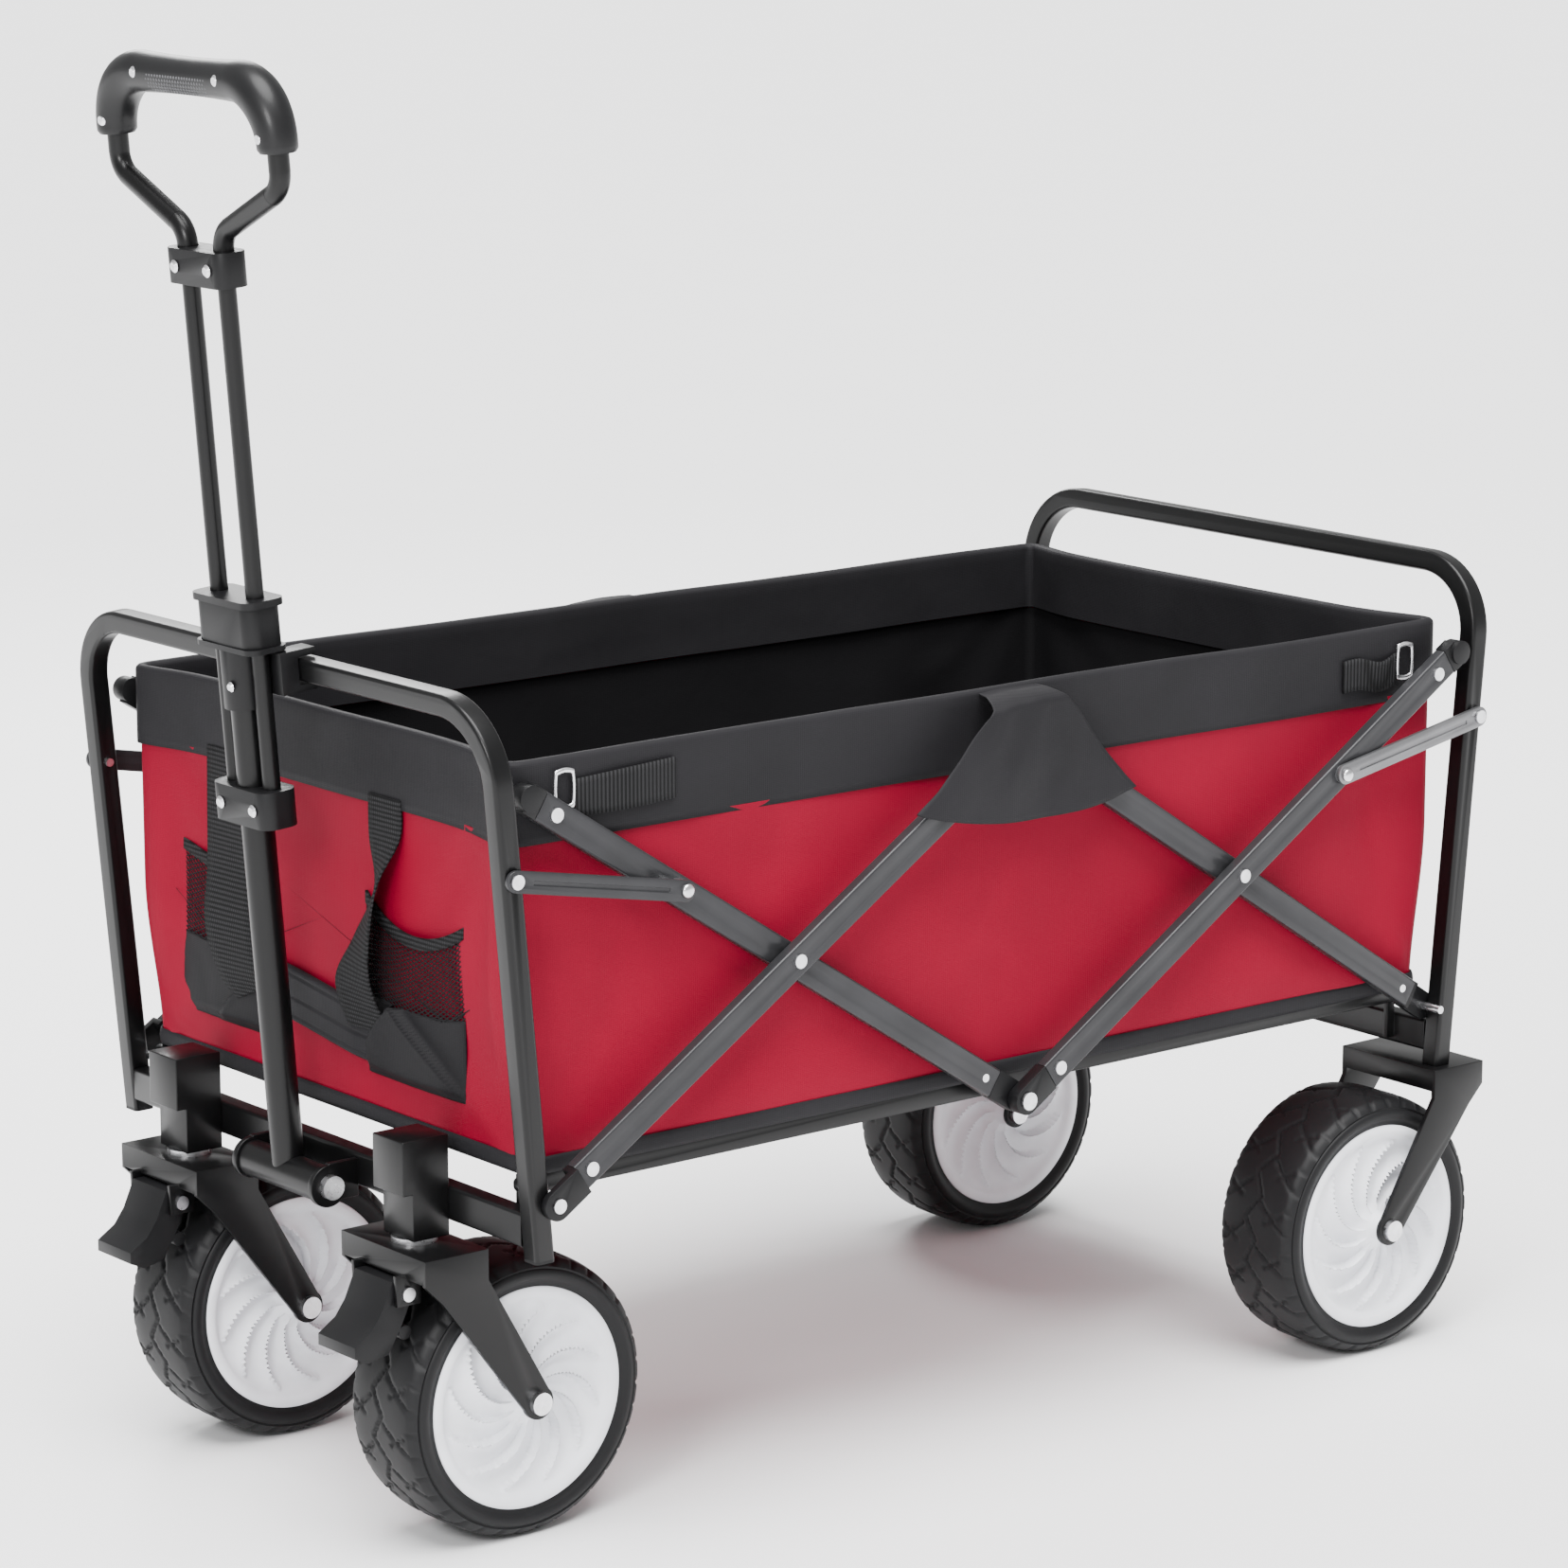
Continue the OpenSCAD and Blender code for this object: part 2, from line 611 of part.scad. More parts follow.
module caster_stem(side) color([0.6, 0.6, 0.62]) at_stem(side) {
    translate([0, 0, fork_top - 10]) cylinder(d = stem_d, h = stem_top - fork_top + 10);
    translate([0, 0, fork_top + 0.02]) cylinder(d = 32, h = 3.9);
    translate([0, 0, fork_top - 14]) cylinder(d = 24, h = 9.98, $fn = 6);
    rod_y(pedal_pivot[0], pedal_pivot[1], pin_d, [-pedal_w / 2 - 5, pedal_w / 2 + 5]);
    for (end = [-1, 1]) on_side(end)
        rod_y(pedal_pivot[0], pedal_pivot[1], head_d, [pedal_w / 2 + 4.52, pedal_w / 2 + 6]);
}

module caster_axle(side) color([0.75, 0.76, 0.78]) at_stem(side) axle(front_trail, 0);

// The brake pedal hangs in front of the tyre and carries the shoe that presses it
module brake_pedal(side) color([0.08, 0.08, 0.09]) at_stem(side) {
    top = fork_top - 19;
    difference() {
        union() {
            translate([0, pedal_w / 2, 0]) rotate([90, 0, 0]) linear_extrude(pedal_w)
                polygon([[-18, top], [-34, top], [-43, top - 20], [-51, top - 31], [-65, top - 40],
                    [-65, top - 48], [-54, top - 53], [-38, top - 50], [-28, top - 34], [-18, top - 14]]);
            rod_y(pedal_pivot[0], pedal_pivot[1] - 28, 10, [-pedal_w / 2, pedal_w / 2]);
        }
        rod_y(pedal_pivot[0], pedal_pivot[1], running_hole, [-pedal_w, pedal_w]);
    }
}

module caster_fork_left() caster_fork(1);
module caster_fork_right() caster_fork(-1);
module caster_stem_left() caster_stem(1);
module caster_stem_right() caster_stem(-1);
module caster_axle_left() caster_axle(1);
module caster_axle_right() caster_axle(-1);
module brake_pedal_left() brake_pedal(1);
module brake_pedal_right() brake_pedal(-1);

// Places a wheel, drawn about the Z axis, at its axle
module at_wheel(x, y) {
    at_mid() translate([x, y, tyre_r]) rotate([90, 0, 0]) children();
}

module tyre_shape() color([0.06, 0.06, 0.07]) {
    shoulder = 10;
    inner = rim_d / 2 + snug;
    depth = tyre_r - inner;
    rotate_extrude($fn = 96) {
        translate([inner, -tyre_w / 2]) square([depth - shoulder, tyre_w]);
        translate([inner, -tyre_w / 2 + shoulder]) square([depth, tyre_w - 2 * shoulder]);
        for (end = [-1, 1])
            translate([tyre_r - shoulder, end * (tyre_w / 2 - shoulder)]) circle(r = shoulder);
    }
}

module rim_shape() color([0.95, 0.95, 0.96]) {
    face = tyre_w / 2 - 2;
    rotate_extrude($fn = 96) {
        translate([rim_d / 2 - 7, -face]) square([7, 2 * face]);
        translate([axle_d / 2 + run, -fork_half + arm_t + 0.5]) square([12, 2 * (fork_half - arm_t - 0.5)]);
        for (end = [-1, 1])
            translate([axle_d / 2 + run + 1, end * (face - 7) - 2.5]) square([rim_d / 2 - 7, 5]);
    }
}

front_axle_x = -stem_x + front_trail;
rear_axle_x = rear_head_x - rear_trail;
module tyre_front_left() at_wheel(front_axle_x, front_wheel_y) tyre_shape();
module tyre_front_right() at_wheel(front_axle_x, -front_wheel_y) tyre_shape();
module tyre_rear_left() at_wheel(rear_axle_x, rear_wheel_y) tyre_shape();
module tyre_rear_right() at_wheel(rear_axle_x, -rear_wheel_y) tyre_shape();
module rim_front_left() at_wheel(front_axle_x, front_wheel_y) rim_shape();
module rim_front_right() at_wheel(front_axle_x, -front_wheel_y) rim_shape();
module rim_rear_left() at_wheel(rear_axle_x, rear_wheel_y) rim_shape();
module rim_rear_right() at_wheel(rear_axle_x, -rear_wheel_y) rim_shape();

// ---- Pull handle ------------------------------------------------------------

// Moves children, drawn along +Z from the hinge, to the leaning handle
module on_pole() {
    at_mid() translate([-hinge_x, 0, hinge_z]) rotate([0, -pole_lean, 0]) children();
}

module hinge_barrel() color([0.1, 0.1, 0.11]) on_pole() difference() {
    rod_y(0, 0, barrel_d, [-barrel_half, barrel_half]);
    rod_y(0, 0, hinge_pin_d + 2 * run, [-barrel_half - 1, barrel_half + 1]);
}

module pull_tube() color([0.08, 0.08, 0.09]) on_pole() difference() {
    cylinder(d = pull_d, h = collar_high - 6);
    translate([0, 0, -1]) cylinder(d = pull_d - 2 * tube_wall, h = collar_high);
    rod_y(0, 0, barrel_d + 2 * snug, [-barrel_half, barrel_half]);
}

// Three parallel bores for the pull tube and the sliding tubes
module guide_bores(low, high, pull_gap, slide_gap) {
    translate([0, 0, low - 1]) cylinder(d = pull_d + 2 * pull_gap, h = high - low + 2);
    for (side = [-1, 1]) translate([0, side * slide_y, low - 1])
        cylinder(d = slide_d + 2 * slide_gap, h = high - low + 2);
}

module guide_block(low, high) {
    translate([0, 0, low]) linear_extrude(high - low) round_rect(2 * guide_half_t, 2 * guide_half_w, 11);
}

// Collar at the pull tube's top, with jaws that clip over the hoop's top bar
module guide_collar() color([0.06, 0.06, 0.07]) on_pole() {
    bar_x = (hoop_top_z - hinge_z) * sin(pole_lean) + (hinge_x - post_x(hoop_top_z)) * cos(pole_lean);
    bar_s = (hoop_top_z - hinge_z) * cos(pole_lean) - (hinge_x - post_x(hoop_top_z)) * sin(pole_lean);
    slot = hoop_tube + 3.4;
    jaw_y = guide_half_w - 12;
    difference() {
        union() {
            guide_block(collar_low, collar_high);
            translate([0, 0, ring_low]) cylinder(d = pull_d + 8, h = collar_low - ring_low);
            for (side = [-1, 1]) on_side(side)
                translate([pull_d / 2 - 6, jaw_y, bar_s - slot / 2 - 5])
                    cube([bar_x - pull_d / 2 + 11, 16, slot + 10]);
            translate([pull_d / 2 - 4, -jaw_y - 1, bar_s - slot / 2 - 5])
                cube([bar_x - hoop_tube / 2 - pull_d / 2 + 2.5, 2 * jaw_y + 2, slot + 10]);
        }
        guide_bores(ring_low, collar_high, snug, glide);
        translate([bar_x - hoop_tube / 2 - 1.2, -60, bar_s - slot / 2]) cube([hoop_tube + 20, 120, slot]);
    }
}

module slide_tubes() color([0.07, 0.07, 0.08]) on_pole() for (side = [-1, 1])
    translate([0, side * slide_y, bracket_low + 2]) difference() {
        cylinder(d = slide_d, h = tube_split - bracket_low - 2);
        translate([0, 0, -1]) cylinder(d = slide_d - 2 * tube_wall, h = tube_split - bracket_low + 2);
    }

// Rivets' heads on a guide block's front face
module block_rivets(s, half_t) {
    for (side = [-1, 1]) translate([-half_t - 1.2, side * slide_y * 0.9, s]) rotate([0, 90, 0])
        cylinder(d = 8, h = 3);
}

module lower_bracket() color([0.06, 0.06, 0.07]) on_pole() difference() {
    union() {
        guide_block(bracket_low, bracket_high);
        block_rivets((bracket_low + bracket_high) / 2, guide_half_t);
    }
    guide_bores(bracket_low, bracket_high, glide, snug);
}

module upper_clamp() color([0.06, 0.06, 0.07]) on_pole() difference() {
    union() {
        translate([0, 0, clamp_low]) linear_extrude(clamp_high - clamp_low)
            round_rect(2 * clamp_half_t, 2 * guide_half_w, 9);
        block_rivets((clamp_low + clamp_high) / 2, clamp_half_t);
    }
    for (side = [-1, 1]) {
        translate([0, side * slide_y, clamp_low - 1])
            cylinder(d = slide_d + 2 * snug, h = tube_split - clamp_low + 1);
        translate([0, side * slide_y, tube_split])
            cylinder(d = loop_d + 2 * snug, h = clamp_high - tube_split + 1);
    }
}

// The handle loop's path: neck, flare, side and top bend
flare_r = 18;
flare_angle = 65;
flare_start = clamp_high;
flare_run = (loop_half_w - slide_y - 2 * flare_r * (1 - cos(flare_angle))) / sin(flare_angle);
flare_end = flare_start + 2 * flare_r * sin(flare_angle) + flare_run * cos(flare_angle);
grip_bend_r = 40;
side_end = loop_top - grip_bend_r;
grip_start = side_end - 4;

// A straight stretch of the loop along +Z, run a little into the slightly thinner bends
module loop_straight(length) {
    translate([0, 0, -bend_lap]) cylinder(d = loop_d, h = length + 2 * bend_lap);
}

// A bend of the loop in the loop's plane
module loop_bend(radius, angle) {
    rotate_extrude(angle = angle) translate([radius, 0]) circle(d = loop_d - bend_thin);
}
bend_lap = 0.5;
bend_thin = 0.2;

// One side of the loop from its neck to the top
module loop_side() {
    translate([0, slide_y, tube_split]) cylinder(d = loop_d, h = flare_start - tube_split + bend_lap);
    translate([0, slide_y + flare_r, flare_start]) rotate([90, 0, 90]) rotate([0, 0, 180 - flare_angle])
        loop_bend(flare_r, flare_angle);
    translate([0, slide_y + flare_r * (1 - cos(flare_angle)), flare_start + flare_r * sin(flare_angle)])
        rotate([-flare_angle, 0, 0]) loop_straight(flare_run);
    translate([0, loop_half_w - flare_r, flare_end]) rotate([90, 0, 90]) rotate([0, 0, -flare_angle])
        loop_bend(flare_r, flare_angle);
    translate([0, loop_half_w, flare_end]) loop_straight(side_end - flare_end);
    translate([0, loop_half_w - grip_bend_r, side_end]) rotate([90, 0, 90]) loop_bend(grip_bend_r, 90);
}

module handle_loop() color([0.08, 0.08, 0.09]) on_pole() {
    both_sides() loop_side();
    translate([0, loop_half_w - grip_bend_r, loop_top]) rotate([90, 0, 0])
        loop_straight(2 * (loop_half_w - grip_bend_r));
}

module grip_section() difference() {
    circle(d = grip_d);
    circle(d = loop_d + 2 * snug);
}

// A moulded grip over the loop's top and bends
module hand_grip() color([0.1, 0.1, 0.11]) on_pole() {
    flat = loop_half_w - grip_bend_r;
    both_sides() {
        translate([0, loop_half_w, grip_start]) linear_extrude(side_end - grip_start) grip_section();
        translate([0, flat, side_end]) rotate([90, 0, 90])
            rotate_extrude(angle = 90) translate([grip_bend_r, 0]) grip_section();
    }
    translate([0, flat, loop_top]) rotate([90, 0, 0]) linear_extrude(2 * flat) grip_section();
}

// ---- Fabric -----------------------------------------------------------------

// The tub's outline, seen from above, grown by an amount
module tub_outline(grow) {
    round_rect(tub_l + 2 * grow, tub_w + 2 * grow, tub_r + grow);
}

module fabric_tub() color([0.75, 0.13, 0.2]) at_mid() difference() {
    translate([0, 0, tub_z]) linear_extrude(rim_z - tub_z) tub_outline(0);
    translate([0, 0, tub_z + cloth_t]) linear_extrude(rim_z - tub_z) tub_outline(-cloth_t);
}

module rim_band() color([0.24, 0.23, 0.24]) at_mid()
    translate([0, 0, rim_z - band_h]) linear_extrude(band_h) difference() {
        tub_outline(soft_gap + band_t);
        tub_outline(soft_gap);
    }

// Cloth hoods that hang from the rim over the two top joints
module joint_covers() color([0.24, 0.23, 0.24]) at_mid() both_sides() {
    out_y = outer_y[1] + head_t + 0.6;
    in_y = tub_w / 2 + soft_gap + band_t + soft_gap;
    translate([0, out_y + cover_t, 0]) rotate([90, 0, 0]) linear_extrude(cover_t)
        polygon([[-24, rim_z + 2], [24, rim_z + 2], [104, 478], [92, 466], [16, 462],
            [-94, 478], [-106, 488]]);
    translate([-24, in_y, rim_z + 0.5]) cube([48, out_y - in_y + cover_t, cover_t]);
    translate([-24, in_y, rim_z - 6]) cube([48, cover_t, 6.5 + cover_t]);
}

// Open-topped pockets on the front panel
module bottle_pockets() color([0.2, 0.2, 0.21]) at_mid() both_sides() difference() {
    front = -tub_l / 2 - soft_gap - pocket_d;
    translate([front, pocket_y - pocket_w / 2, pocket_z[0]])
        cube([pocket_d, pocket_w, pocket_z[1] - pocket_z[0]]);
    translate([front + 2, pocket_y - pocket_w / 2 + 2, pocket_z[0] + 2])
        cube([pocket_d - 4, pocket_w - 4, pocket_z[1] - pocket_z[0]]);
}

module floor_mat() color([0.18, 0.18, 0.19]) at_mid()
    translate([0, 0, tub_z + cloth_t + soft_gap]) linear_extrude(mat_t) tub_outline(-cloth_t - 4);

front_hoop();
front_crossbar();
caster_columns();
handle_bracket();
front_fasteners();
post_plugs();
rear_hoop();
rear_crossbar();
rear_forks();
rear_axles();
rear_fasteners();
front_outer_bar_left();
front_outer_bar_right();
front_inner_bar_left();
front_inner_bar_right();
rear_inner_bar_left();
rear_inner_bar_right();
rear_outer_bar_left();
rear_outer_bar_right();
front_outer_plugs();
front_inner_plugs();
rear_inner_plugs();
rear_outer_plugs();
front_outer_rivets();
front_inner_rivets();
rear_inner_rivets();
rear_outer_rivets();
front_stay_links();
rear_stay_links();
front_floor_rails();
rear_floor_rails();
caster_fork_left();
caster_fork_right();
caster_stem_left();
caster_stem_right();
caster_axle_left();
caster_axle_right();
brake_pedal_left();
brake_pedal_right();
tyre_front_left();
tyre_front_right();
tyre_rear_left();
tyre_rear_right();
rim_front_left();
rim_front_right();
rim_rear_left();
rim_rear_right();
hinge_barrel();
pull_tube();
guide_collar();
slide_tubes();
lower_bracket();
upper_clamp();
handle_loop();
hand_grip();
fabric_tub();
rim_band();
joint_covers();
bottle_pockets();
floor_mat();
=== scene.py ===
import json
import math

import bmesh
import bpy
from mathutils import Matrix, Vector, noise

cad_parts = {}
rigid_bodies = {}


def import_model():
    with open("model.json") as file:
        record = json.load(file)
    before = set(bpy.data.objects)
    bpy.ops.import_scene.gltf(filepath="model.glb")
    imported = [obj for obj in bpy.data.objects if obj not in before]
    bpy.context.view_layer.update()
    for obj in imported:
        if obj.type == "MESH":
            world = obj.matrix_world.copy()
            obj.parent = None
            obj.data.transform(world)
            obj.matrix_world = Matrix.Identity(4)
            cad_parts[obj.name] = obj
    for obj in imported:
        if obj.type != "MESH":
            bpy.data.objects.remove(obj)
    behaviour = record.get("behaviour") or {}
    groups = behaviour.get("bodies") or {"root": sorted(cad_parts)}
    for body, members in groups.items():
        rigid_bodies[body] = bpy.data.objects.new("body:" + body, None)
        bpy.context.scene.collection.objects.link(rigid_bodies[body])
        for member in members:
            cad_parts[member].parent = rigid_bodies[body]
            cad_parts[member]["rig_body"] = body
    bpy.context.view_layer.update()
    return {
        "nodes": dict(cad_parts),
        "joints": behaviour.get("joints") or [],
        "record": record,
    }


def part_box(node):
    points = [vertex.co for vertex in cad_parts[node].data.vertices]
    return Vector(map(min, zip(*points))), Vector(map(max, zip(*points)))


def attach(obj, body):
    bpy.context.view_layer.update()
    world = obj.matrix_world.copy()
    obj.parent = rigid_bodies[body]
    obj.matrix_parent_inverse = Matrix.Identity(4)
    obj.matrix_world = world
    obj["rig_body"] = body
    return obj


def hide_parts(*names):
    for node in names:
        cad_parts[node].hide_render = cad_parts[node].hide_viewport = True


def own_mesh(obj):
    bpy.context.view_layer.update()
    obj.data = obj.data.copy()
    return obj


bl_info = {
    "name": "Folding Camp Wagon",
    "version": (1, 0, 0),
    "blender": (4, 5, 0),
    "location": "View3D > Sidebar > Wagon",
    "description": "Builds the visible pieces of a scissor-folding camp wagon around its CAD frame",
    "category": "Object",
}

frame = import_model()
NODES = frame["nodes"]
JOINT_AT = {j["name"]: Vector(j["pos_m"]) for j in frame["joints"] if "pos_m" in j}
MM = 0.001
MID_X = (JOINT_AT["fold"].x + JOINT_AT["rear_frame_pivot"].x) / 2
TUB_LOW, TUB_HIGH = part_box("fabric_tub")
HALF_L = (TUB_HIGH.x - TUB_LOW.x) / 2
HALF_W = TUB_HIGH.y
BAND_LOW, BAND_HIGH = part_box("rim_band")
SIDES = {"left": 1, "right": -1}
SLOT_OF = {s["node"]: s["material_slot"] for s in frame["record"]["subparts"]}
PAINT = {}


# ---- Materials ---------------------------------------------------------------

def shader(name, color, roughness, metallic=0.0, coat=0.0, specular=0.5):
    """A new material, with its node tree, its shader node and its object coordinates."""
    material = bpy.data.materials.new(name)
    material.use_nodes = True
    tree = material.node_tree
    surface = tree.nodes["Principled BSDF"]
    surface.inputs["Base Color"].default_value = (*color, 1)
    surface.inputs["Roughness"].default_value = roughness
    surface.inputs["Metallic"].default_value = metallic
    surface.inputs["Coat Weight"].default_value = coat
    surface.inputs["Coat Roughness"].default_value = 0.2
    surface.inputs["Specular IOR Level"].default_value = specular
    place = tree.nodes.new("ShaderNodeTexCoord").outputs["Object"]
    return material, tree, surface, place


def noise_field(tree, place, scale, detail=3.0, distortion=0.0):
    node = tree.nodes.new("ShaderNodeTexNoise")
    node.inputs["Scale"].default_value = scale
    node.inputs["Detail"].default_value = detail
    node.inputs["Distortion"].default_value = distortion
    tree.links.new(place, node.inputs["Vector"])
    return node.outputs["Fac"]


def wave_field(tree, place, scale, turn):
    """Fine parallel ribs; turn rotates their direction, which starts along X."""
    mapping = tree.nodes.new("ShaderNodeMapping")
    mapping.inputs["Rotation"].default_value = turn
    tree.links.new(place, mapping.inputs["Vector"])
    node = tree.nodes.new("ShaderNodeTexWave")
    node.inputs["Scale"].default_value = scale
    tree.links.new(mapping.outputs["Vector"], node.inputs["Vector"])
    return node.outputs["Fac"]


def combine(tree, operation, first, second):
    node = tree.nodes.new("ShaderNodeMath")
    node.operation = operation
    for socket, value in zip(node.inputs, (first, second)):
        if isinstance(value, (int, float)):
            socket.default_value = value
        else:
            tree.links.new(value, socket)
    return node.outputs["Value"]


def bump(tree, surface, height, distance, strength=1.0, below=None):
    node = tree.nodes.new("ShaderNodeBump")
    node.inputs["Distance"].default_value = distance
    node.inputs["Strength"].default_value = strength
    tree.links.new(height, node.inputs["Height"])
    if below is not None:
        tree.links.new(below, node.inputs["Normal"])
    tree.links.new(node.outputs["Normal"], surface.inputs["Normal"])
    return node.outputs["Normal"]


def vary_color(tree, surface, field, dark, light):
    """Runs the base colour from dark to light along a field."""
    ramp = tree.nodes.new("ShaderNodeValToRGB")
    ramp.color_ramp.elements[0].position = 0.3
    ramp.color_ramp.elements[1].position = 0.7
    ramp.color_ramp.elements[0].color = (*dark, 1)
    ramp.color_ramp.elements[1].color = (*light, 1)
    tree.links.new(field, ramp.inputs["Fac"])
    tree.links.new(ramp.outputs["Color"], surface.inputs["Base Color"])


def vary_roughness(tree, surface, field, low, high):
    node = tree.nodes.new("ShaderNodeMapRange")
    node.inputs["To Min"].default_value = low
    node.inputs["To Max"].default_value = high
    tree.links.new(field, node.inputs["Value"])
    tree.links.new(node.outputs["Result"], surface.inputs["Roughness"])


def scaled(color, factor):
    return tuple(min(1.0, c * factor) for c in color)


def painted_steel(name, color, roughness, metallic=0.0, coat=0.1):
    """Powder coat: faint orange peel and slow changes of gloss."""
    material, tree, surface, place = shader(name, color, roughness, metallic, coat, specular=0.2)
    slow = noise_field(tree, place, 22)
    vary_color(tree, surface, slow, scaled(color, 0.86), scaled(color, 1.2))
    vary_roughness(tree, surface, slow, roughness - 0.05, roughness + 0.07)
    bump(tree, surface, noise_field(tree, place, 1100, 2), 0.00004, 0.5)
    return material


def bright_metal(name, color, roughness):
    material, tree, surface, place = shader(name, color, roughness, 1.0)
    slow = noise_field(tree, place, 160)
    vary_color(tree, surface, slow, scaled(color, 0.8), scaled(color, 1.08))
    vary_roughness(tree, surface, slow, roughness - 0.06, roughness + 0.12)
    bump(tree, surface, noise_field(tree, place, 900, 2), 0.00005, 0.4)
    return material


def moulded(name, color, roughness, coat=0.0, grain=0.00008):
    """Injection-moulded plastic with a fine spark-eroded grain."""
    material, tree, surface, place = shader(name, color, roughness, 0.0, coat, specular=0.2)
    slow = noise_field(tree, place, 30)
    vary_color(tree, surface, slow, scaled(color, 0.92), scaled(color, 1.06))
    vary_roughness(tree, surface, slow, roughness - 0.04, roughness + 0.06)
    bump(tree, surface, noise_field(tree, place, 1700, 2), grain, 0.6)
    return material


def woven(name, color, roughness, threads, depth, contrast=0.12):
    """Plain weave: two crossed sets of ribs that show on upright and on flat faces."""
    material, tree, surface, place = shader(name, color, roughness, specular=0.1)
    rise = wave_field(tree, place, threads, (0, math.radians(90), 0))
    run = wave_field(tree, place, threads, (0, 0, math.radians(45)))
    weave = combine(tree, "MULTIPLY", combine(tree, "ADD", rise, run), 0.5)
    slow = noise_field(tree, place, 9, 4, 0.4)
    patches, threads_share = combine(tree, "MULTIPLY", slow, 0.75), combine(tree, "MULTIPLY", weave, 0.25)
    mixed = combine(tree, "ADD", patches, threads_share)
    vary_color(tree, surface, mixed, scaled(color, 1 - contrast), scaled(color, 1 + contrast))
    soft = bump(tree, surface, noise_field(tree, place, 38, 3, 0.6), 0.0012, 0.35)
    bump(tree, surface, weave, depth, 0.5, soft)
    return material


def webbing(name, color, turn):
    """Coarse ribbed strap webbing; turn sets the direction in which its ribs follow one another."""
    material, tree, surface, place = shader(name, color, 0.75, specular=0.15)
    ribs = wave_field(tree, place, 95, turn)
    cross = wave_field(tree, place, 140, (0, 0, math.radians(90)))
    weave = combine(tree, "MULTIPLY", ribs, combine(tree, "ADD", cross, 0.5))
    vary_color(tree, surface, weave, scaled(color, 0.45), scaled(color, 2.6))
    bump(tree, surface, weave, 0.0005, 0.9)
    return material


def build_materials():
    look = bpy.context.scene.wagon_look
    pocket, lining = scaled(look.band_color, 0.7), scaled(look.band_color, 0.5)
    strap = (0.007, 0.007, 0.0075)
    return {
        "frame_steel": painted_steel("satin black frame", look.frame_color, 0.34, 0.0, 0.08),
        "bar_steel": painted_steel("gunmetal bars", look.bar_color, 0.33, 0.3, 0.1),
        "bright_link": painted_steel("pressed grey links", (0.16, 0.16, 0.165), 0.34, 0.8, 0.1),
        "zinc": bright_metal("zinc rivets and bolts", (0.8, 0.8, 0.82), 0.26),
        "black_plastic": moulded("black moulded plastic", (0.005, 0.005, 0.0055), 0.42),
        "grip_plastic": moulded("black grip", (0.006, 0.006, 0.0065), 0.4, 0.1),
        "tyre": moulded("tyre foam", (0.006, 0.006, 0.0066), 0.5, 0.0, 0.0001),
        "white_plastic": moulded("white wheel disc", look.disc_color, 0.38, 0.05, 0.00002),
        "red_cloth": woven("red polyester", look.tub_color, 0.66, 260, 0.00012),
        "dark_cloth": woven("charcoal polyester", look.band_color, 0.6, 260, 0.00015, 0.2),
        "pocket_cloth": woven("charcoal pocket cloth", pocket, 0.6, 240, 0.00015, 0.2),
        "mat_board": woven("mat cover", pocket, 0.7, 240, 0.0002, 0.2),
        "webbing": webbing("black webbing", strap, (0, math.radians(90), 0)),
        "webbing_along": webbing("black webbing along the wagon", strap, (0, 0, 0)),
        "dots": moulded("grip dots", (0.09, 0.09, 0.095), 0.35),
        "lining": woven("charcoal lining", lining, 0.7, 240, 0.00015, 0.15),
    }


# ---- Mesh helpers ------------------------------------------------------------

def piece(name, bm, body, slot, *materials, stands_for=(), crease=180, outward=True):
    """Turns a bmesh into a piece of the wagon that rides on a body."""
    if outward:
        bmesh.ops.recalc_face_normals(bm, faces=bm.faces)
    mesh = bpy.data.meshes.new(name)
    bm.to_mesh(mesh)
    bm.free()
    for material in materials or (slot,):
        mesh.materials.append(PAINT[material])
    mesh.shade_smooth()
    if crease < 180:
        mesh.set_sharp_from_angle(angle=math.radians(crease))
    obj = bpy.data.objects.new(name, mesh)
    bpy.context.scene.collection.objects.link(obj)
    if stands_for:
        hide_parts(*stands_for)
    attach(obj, body)
    return obj


def with_modifiers(obj):
    """Applies the piece's modifiers, so that what follows sees the final mesh."""
    graph = bpy.context.evaluated_depsgraph_get()
    final = bpy.data.meshes.new_from_object(obj.evaluated_get(graph))
    obj.modifiers.clear()
    obj.data = final
    return obj


def thicken(obj, thickness, offset=-1.0, inner_slot=0):
    solid = obj.modifiers.new("wall", "SOLIDIFY")
    solid.thickness = thickness
    solid.offset = offset
    solid.material_offset = inner_slot
    solid.use_quality_normals = True
    return with_modifiers(obj)


def rounded(bm, edges, width, steps):
    """Rounds edges off to a width in metres."""
    bmesh.ops.bevel(
        bm, geom=edges, offset=width, offset_type="OFFSET", segments=steps,
        profile=0.5, affect="EDGES", clamp_overlap=True, material=-1,
    )


def soft_edged(node, width, steps=2):
    """A copy of a CAD node's shape with its sharp edges rounded off."""
    bm = bmesh.new()
    bm.from_mesh(NODES[node].data)
    bmesh.ops.remove_doubles(bm, verts=bm.verts, dist=2e-6)
    bmesh.ops.dissolve_limit(bm, angle_limit=math.radians(1.5), verts=bm.verts, edges=bm.edges)
    sharp = [e for e in bm.edges if len(e.link_faces) == 2 and e.calc_face_angle() > math.radians(38)]
    rounded(bm, sharp, width, steps)
    return piece(node + "_finish", bm, NODES[node]["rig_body"], SLOT_OF[node],
                 stands_for=(node,), crease=50, outward=False)


def slice_along(bm, normal, positions):
    """Cuts every face at these places along an axis, so that cloth has points to move."""
    axis = Vector(normal)
    for at in positions:
        bmesh.ops.bisect_plane(
            bm, geom=bm.verts[:] + bm.edges[:] + bm.faces[:], dist=1e-7,
            plane_co=axis * at, plane_no=axis,
        )


